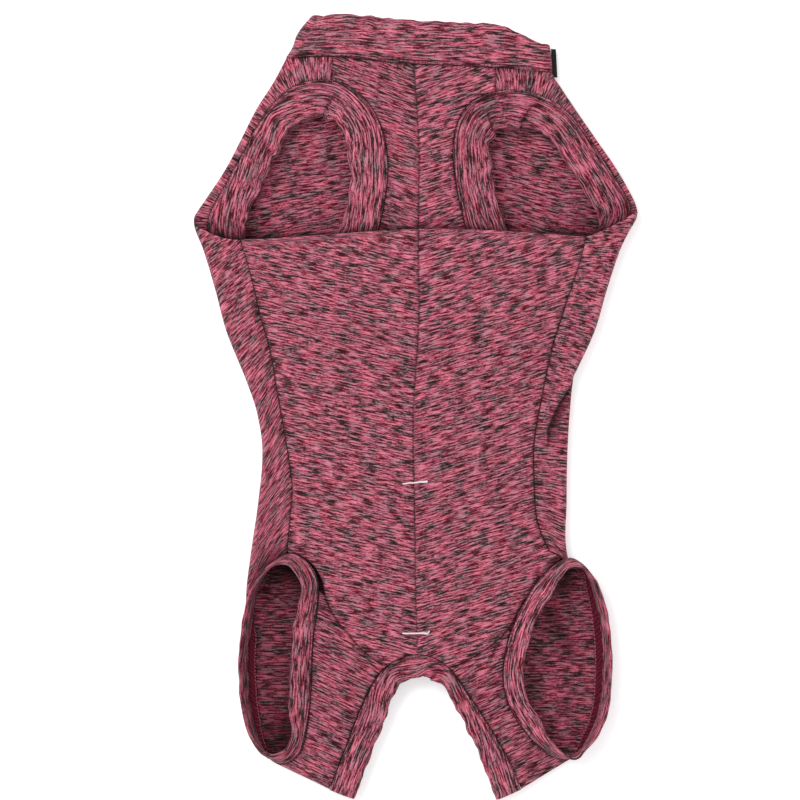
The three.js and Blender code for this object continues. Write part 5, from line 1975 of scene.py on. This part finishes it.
@dataclass
class BackPanel(ClothPiece):
    """The lower layer, whose inside shows through the leg holes."""

    lap: float = 1.2
    inner_light: float = 0.86
    shoulder_row: int = 14
    leg_row: int = 35
    last_row: int = 39

    def edge(self, side: Side, v: float) -> Vector:
        """Side edge of the panel at a share along it: beside the shoulder, the side panel and the leg."""
        inner = Vector((side.sign * self.lap, 0, 0))
        cut = CUTS[side]
        row = v * self.last_row
        if row < self.shoulder_row:
            start = SUIT.collar_seam_at(SUIT.fold_point(side, 0.06).x) + SEAM_GAP / LENGTH
            share = SUIT.shoulder_rows(row / self.shoulder_row)
            return SUIT.inside_fold(side, mix(start, cut.back_front, share)) + inner
        if row < self.leg_row:
            first = self.shoulder_row + 1
            share = clamp((row - first) / (self.leg_row - first))
            return SUIT.inside_fold(side, mix(*cut.back_ends, share)) + inner
        corner = SUIT.beside_arch(ARCH_CORNERS[side], -SEAM_GAP / 2)
        corner.z = UNDER
        t = (row - self.leg_row) / (self.last_row - self.leg_row)
        lapped = inner * (1 - t) + Vector((0, -self.lap * (1 - t), 0))
        return spot(LOWER_CORNERS[side], UNDER).lerp(corner, t) + lapped

    def point(self, u: float, v: float) -> Vector:
        """Between the two side edges, flat on the surface but for slight waves."""
        left, right = self.edge(Side.LEFT, v), self.edge(Side.RIGHT, v)
        at = mix(SUIT.collar_seam_at(0), ARCH_TOP, v)
        middle = Vector((0, lengthwise(at), UNDER))
        point = left.lerp(middle, u * 2) if u < 0.5 else middle.lerp(right, u * 2 - 1)
        if v < 1e-6:
            point.y = lengthwise(SUIT.collar_seam_at(point.x)) - SEAM_GAP
        if v > 1 - 1e-6:
            point = SUIT.beside_arch(mix(ARCH_CORNERS[Side.LEFT], ARCH_CORNERS[Side.RIGHT], u), -SEAM_GAP / 2)
        inside = smooth(min(u, 1 - u, v, 1 - v), 0.0, 0.08)
        point.z = UNDER + inside * 0.9 * (0.5 + ripple(point.x, point.y, 26, 6.5, 5, 2.2))
        return point

    def faces_in(self, shape: bmesh.types.BMesh) -> bool:
        """Whether the faces point up, as the panel's outside lies below."""
        return sum(face.normal.z * face.calc_area() for face in shape.faces) > 0

    def seam_place(self, u: float, v: float, point: Vector) -> tuple[float, float]:
        """From the side edges."""
        return min(u, 1 - u) * (self.edge(Side.RIGHT, v) - self.edge(Side.LEFT, v)).length + 0.4, point.y

    def inner_shade(self, u: float, v: float, point: Vector) -> float:
        """A little dim inside the suit, dark before the belly's fold, and dim inside the hind legs."""
        leg = SUIT.in_leg(point)
        return mix(self.inner_light, SUIT.leg_dim(point), leg) * mix(SUIT.nook(point.x, point.y), 1.0, leg)

    def grain(self, u: float, v: float, point: Vector) -> tuple[float, float]:
        """Courses that waver a little and fall away from the middle, and lie level in the legs."""
        fall = 0.16 * (1 - smooth(share_of(point.y), 0.5, 0.65))
        return point.x + BACK_DYE, point.y + abs(point.x) * fall + 1.6 * ripple(point.x, point.y, 30, 5.5)


@dataclass
class LabelTab:
    """Bare black tape, folded in half and sewn into the collar's right end."""

    node: str = "label_tab"
    finish: Finish = LABEL_TAPE
    middle: SpotRow = SpotRow(0.624, 0.0622)
    height: float = 17.6
    reach: float = 2.9
    layer: float = 0.45

    def build(self) -> bpy.types.Object:
        """Makes the folded tape: two layers with a rounded fold, leaning a little as it follows the collar.

        Returns:
            The finished tab.
        """
        low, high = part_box(self.node)
        shape = bmesh.new()
        bmesh.ops.create_grid(shape, x_segments=16, y_segments=24, size=1.0)
        for vertex in shape.verts:
            u, v = (vertex.co.x + 1) / 2, vertex.co.y / 2
            out = 1 - abs(2 * u - 1)
            lean = 0.9 * (0.5 - v) - 0.5
            apart = math.copysign(self.layer * min(1.0, (1 - out) * 6) * 0.75, u - 0.5)
            vertex.co = Vector((out * self.reach + lean, v * self.height, apart + 0.15 * math.sin(9 * v)))
        bmesh.ops.recalc_face_normals(shape, faces=shape.faces[:])
        bmesh.ops.scale(shape, verts=shape.verts[:], vec=(MM, MM, MM))
        place = (spot(self.middle) + CENTRE - Vector((self.reach / 2, 0, 0))) * MM
        place.z = (low.z + high.z) / 2
        bmesh.ops.translate(shape, verts=shape.verts[:], vec=place)
        piece = mesh_object(shape, "label_tape", WARDROBE.of(self.finish))
        thicken(piece, self.layer)
        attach(piece, "root")
        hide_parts(self.node)
        return piece


@dataclass
class BarTack:
    """A dense white bar of satin stitches, sewn across the belly's centre seam."""

    name: str
    start: SpotRow
    end: SpotRow
    hook: float = 0.0
    width: float = 1.25
    height: float = 0.55
    finish: Finish = TACK_THREAD

    def build(self) -> bpy.types.Object:
        """Makes a rounded bar along the cloth, with the stitches' own small steps at its sides.

        Returns:
            The finished tack.
        """
        shape = bmesh.new()
        bmesh.ops.create_grid(shape, x_segments=90, y_segments=14, size=1.0)
        for vertex in shape.verts:
            u, v = (vertex.co.x + 1) / 2, (vertex.co.y + 1) / 2
            vertex.co = self.point(u, v)
        bmesh.ops.remove_doubles(shape, verts=shape.verts[:], dist=1e-4)
        bmesh.ops.recalc_face_normals(shape, faces=shape.faces[:])
        to_metres(shape)
        piece = mesh_object(shape, self.name, WARDROBE.of(self.finish))
        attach(piece, "root")
        return piece

    def point(self, u: float, v: float) -> Vector:
        """Place on the bar's rounded section, which narrows at both ends."""
        start, end = spot(self.start), spot(self.end)
        middle = start.lerp(end, u)
        middle.y += self.hook * smooth(u, 0.9, 1.0) + 0.25 * noise.noise(Vector((u * 6, 2.5, start.y)))
        taper = math.sqrt(clamp(min(u, 1 - u) * 24))
        stitch = 1 + 0.2 * math.sin(u * 2 * math.pi * 24)
        angle = 2 * math.pi * v
        wide = self.width / 2 * taper * stitch * (0.8 + 0.4 * smooth(u, 0.55, 1.0))
        y = middle.y + math.cos(angle) * wide
        z = SUIT.belly_height(middle.x, middle.y) + 0.25 + math.sin(angle) * self.height * taper
        return Vector((middle.x, y, z))


TACKS = (
    BarTack("bar_tack_front", SpotRow(-0.061, 0.5985), SpotRow(0.056, 0.5955)),
    BarTack("bar_tack_rear", SpotRow(-0.061, 0.789), SpotRow(0.065, 0.789), hook=1.6),
)


@dataclass
class OverlockedEdge(ClothPiece):
    """The seam allowance inside a hind leg's far side, pressed inwards and bound with overlock stitches."""

    side: Side = Side.LEFT

    def middle(self, u: float) -> tuple[Vector, Vector]:
        """Point of the band's seam at a share along the edge, and the direction into the leg."""
        seam = SUIT.leg_point(self.side, mix(*CUTS[self.side].overlock, u), 0)
        return seam, SUIT.to_middle(LEG_MIDDLES[self.side], seam)

    def point(self, u: float, v: float) -> Vector:
        """From the band's inner face down over the seam and in over the sleeve."""
        seam, way = self.middle(u)
        ends = smooth(min(u, 1 - u), 0.0, 0.12)
        reach = mix(-2.4, 4.1, v) * mix(0.35, 1.0, ends)
        wave = 0.5 * noise.noise(Vector((u * 17, v, self.side.sign * 3.3)))
        point = seam + way * (reach + wave * 0.6)
        climb = max(-reach, 0) * 1.9
        point.z = seam.z + JERSEY + 0.35 + climb + 0.5 * bell(v - 0.45, 0.4) + 0.3 * wave
        return point

    def grain(self, u: float, v: float, point: Vector) -> tuple[float, float]:
        """Millimetres along the edge and across it."""
        if not hasattr(self, "_run"):
            self._run = Tape(lambda share: self.middle(share)[0], 80)
        return self._run.run(u), v * OVERLOCK.width

    def fasten(self, piece: bpy.types.Object) -> None:
        """Rides on the suit's root; the sleeve builds it along with its own sheet.

        Args:
            piece: the finished edge.
        """
        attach(piece, "root")


# Studio


@dataclass
class Studio:
    """Pale floor, soft light from the upper left and a camera straight above."""

    view_width: float = 496.0
    aim: tuple[float, float] = (-9.62, 5.09)
    distance: float = 3000.0

    def build(self) -> None:
        """Makes the floor, the lights and the camera."""
        self.floor()
        self.light()
        self.camera()

    def floor(self) -> None:
        """A matt white sheet under the suit."""
        made, tree = new_material("matt_white_backdrop")
        surface(tree, {
            "Base Color": linear("f9f9fa"), "Roughness": 1.0, "Specular IOR Level": 0.0,
            "Emission Color": linear("ffffff"), "Emission Strength": 0.35,
        })
        shape = bmesh.new()
        bmesh.ops.create_grid(shape, x_segments=1, y_segments=1, size=4.0)
        mesh_object(shape, "floor", made)

    def light(self) -> None:
        """An even white room and one large lamp."""
        world = bpy.data.worlds.new("white_room")
        bpy.context.scene.world = world
        world.use_nodes = True
        room = world.node_tree.nodes["Background"].inputs
        room["Color"].default_value = (1, 1, 1, 1)
        room["Strength"].default_value = 0.8
        lamp = bpy.data.lights.new("window_lamp", "AREA")
        lamp.size = 1.4
        lamp.energy = 34.0
        holder = in_scene("window_lamp", lamp)
        holder.location = (-1.3, 1.1, 1.9)
        holder.rotation_euler = (-holder.location).to_track_quat("-Z", "Y").to_euler()

    def camera(self) -> None:
        """Looks straight down, with the neck at the top of the picture."""
        lens = bpy.data.cameras.new("camera")
        lens.sensor_width = 36.0
        lens.lens = 36.0 * self.distance / self.view_width
        lens.clip_end = 50.0
        holder = in_scene("camera", lens)
        holder.location = (self.aim[0] * MM, self.aim[1] * MM, self.distance * MM)
        bpy.context.scene.camera = holder
        settings = bpy.context.scene.view_settings
        settings.view_transform = "Standard"
        settings.look = "None"


def upper_pieces(side: Side) -> list[ClothPiece]:
    """The cloth pieces of one side.

    Args:
        side: left or right.

    Returns:
        The pieces, from the neck to the legs.
    """
    s, cut = side.value, CUTS[side]
    on_back = ("back_knit",)
    overlocked = OverlockedEdge(
        f"overlocked_edge_{s}", (), 90, 10, (5.0, 90.0), finish=OVERLOCK, thickness=0.7, side=side,
    )
    return [
        ChestHalf(f"chest_knit_{s}", (f"chest_{s}",), 28, 128, (46, 150), 4800,
                  rests_on=on_back, lit=cut.chest_lit, side=side),
        ShoulderPanel(f"shoulder_knit_{s}", (f"shoulder_{s}",), 40, 96, (40, 125), 3000,
                      Lay.FOLDED, on_back, side=side, turn=cut.shoulder_turn, seed=21.0 * side.sign),
        ArmBand(f"arm_band_knit_{s}", (f"arm_band_{s}",), columns=220, rows=22, cut=(47, 295),
                lay=Lay.STRETCHED, rests_on=on_back, lit=cut.arm_lit, side=side,
                seed=31.0 * side.sign, laps=cut.arm_laps, slant=0.45 * -side.sign),
        BellyHalf(f"belly_knit_{s}", (f"belly_{s}",), 52, 190, (106, 330), 27800,
                  Lay.FOLDED, (f"chest_knit_{s}",), carries=TACKS if side is Side.LEFT else (), side=side),
        SidePanel(f"side_knit_{s}", (f"side_panel_{s}",), 70, 200, (50, 225), 8900,
                  Lay.FOLDED, on_back, shaded_inner_finish=SHADED_INNER_JERSEY, lit=cut.side_lit, side=side, seed=41.0 * side.sign),
        LegSleeve(f"leg_sleeve_knit_{s}", (f"leg_sleeve_{s}",), 24, 168, (65, 215), 10300,
                  Lay.FOLDED, on_back, shaded_inner_finish=SHADED_INNER_JERSEY, lit=cut.sleeve_lit, side=side, carries=(overlocked,)),
        LegBand(f"leg_band_knit_{s}", (f"leg_band_{s}",), columns=200, rows=20, cut=(25, 285),
                lay=Lay.STRETCHED, rests_on=on_back, finish=HEM_JERSEY, lit=cut.hem_lit, side=side,
                seed=51.0 * side.sign, pucker=0.22, laps=(0.53,), step=0.7),
    ]


def main() -> None:
    """Builds the suit piece by piece, then the studio."""
    logging.basicConfig(level=logging.INFO, format="%(message)s")
    bpy.context.view_layer.update()
    pieces: list[ClothPiece] = [
        BackPanel("back_knit", ("back_panel",), 110, 190, (220, 375), 65000, shaded_inner_finish=SHADED_INNER_JERSEY),
        Collar("collar_knit", ("collar",), columns=260, rows=22, cut=(48, 340),
               lay=Lay.FOLDED, rests_on=("back_knit",), seed=61.0, pucker=0.35),
        RearBand("rear_band_knit", ("rear_band",), columns=260, rows=20, cut=(31, 390),
                 lay=Lay.FOLDED, rests_on=("back_knit",), seed=71.0, pucker=0.35, sway=1.6, laps=(0.27,), step=0.6),
        *upper_pieces(Side.LEFT),
        *upper_pieces(Side.RIGHT),
    ]
    for piece in pieces:
        made = piece.build()
        log.info("made %s: %d faces", made.name, len(made.data.polygons))
    log.info("made %s", LabelTab().build().name)
    Studio().build()
    bpy.context.view_layer.update()


if __name__ == "__main__":
    main()
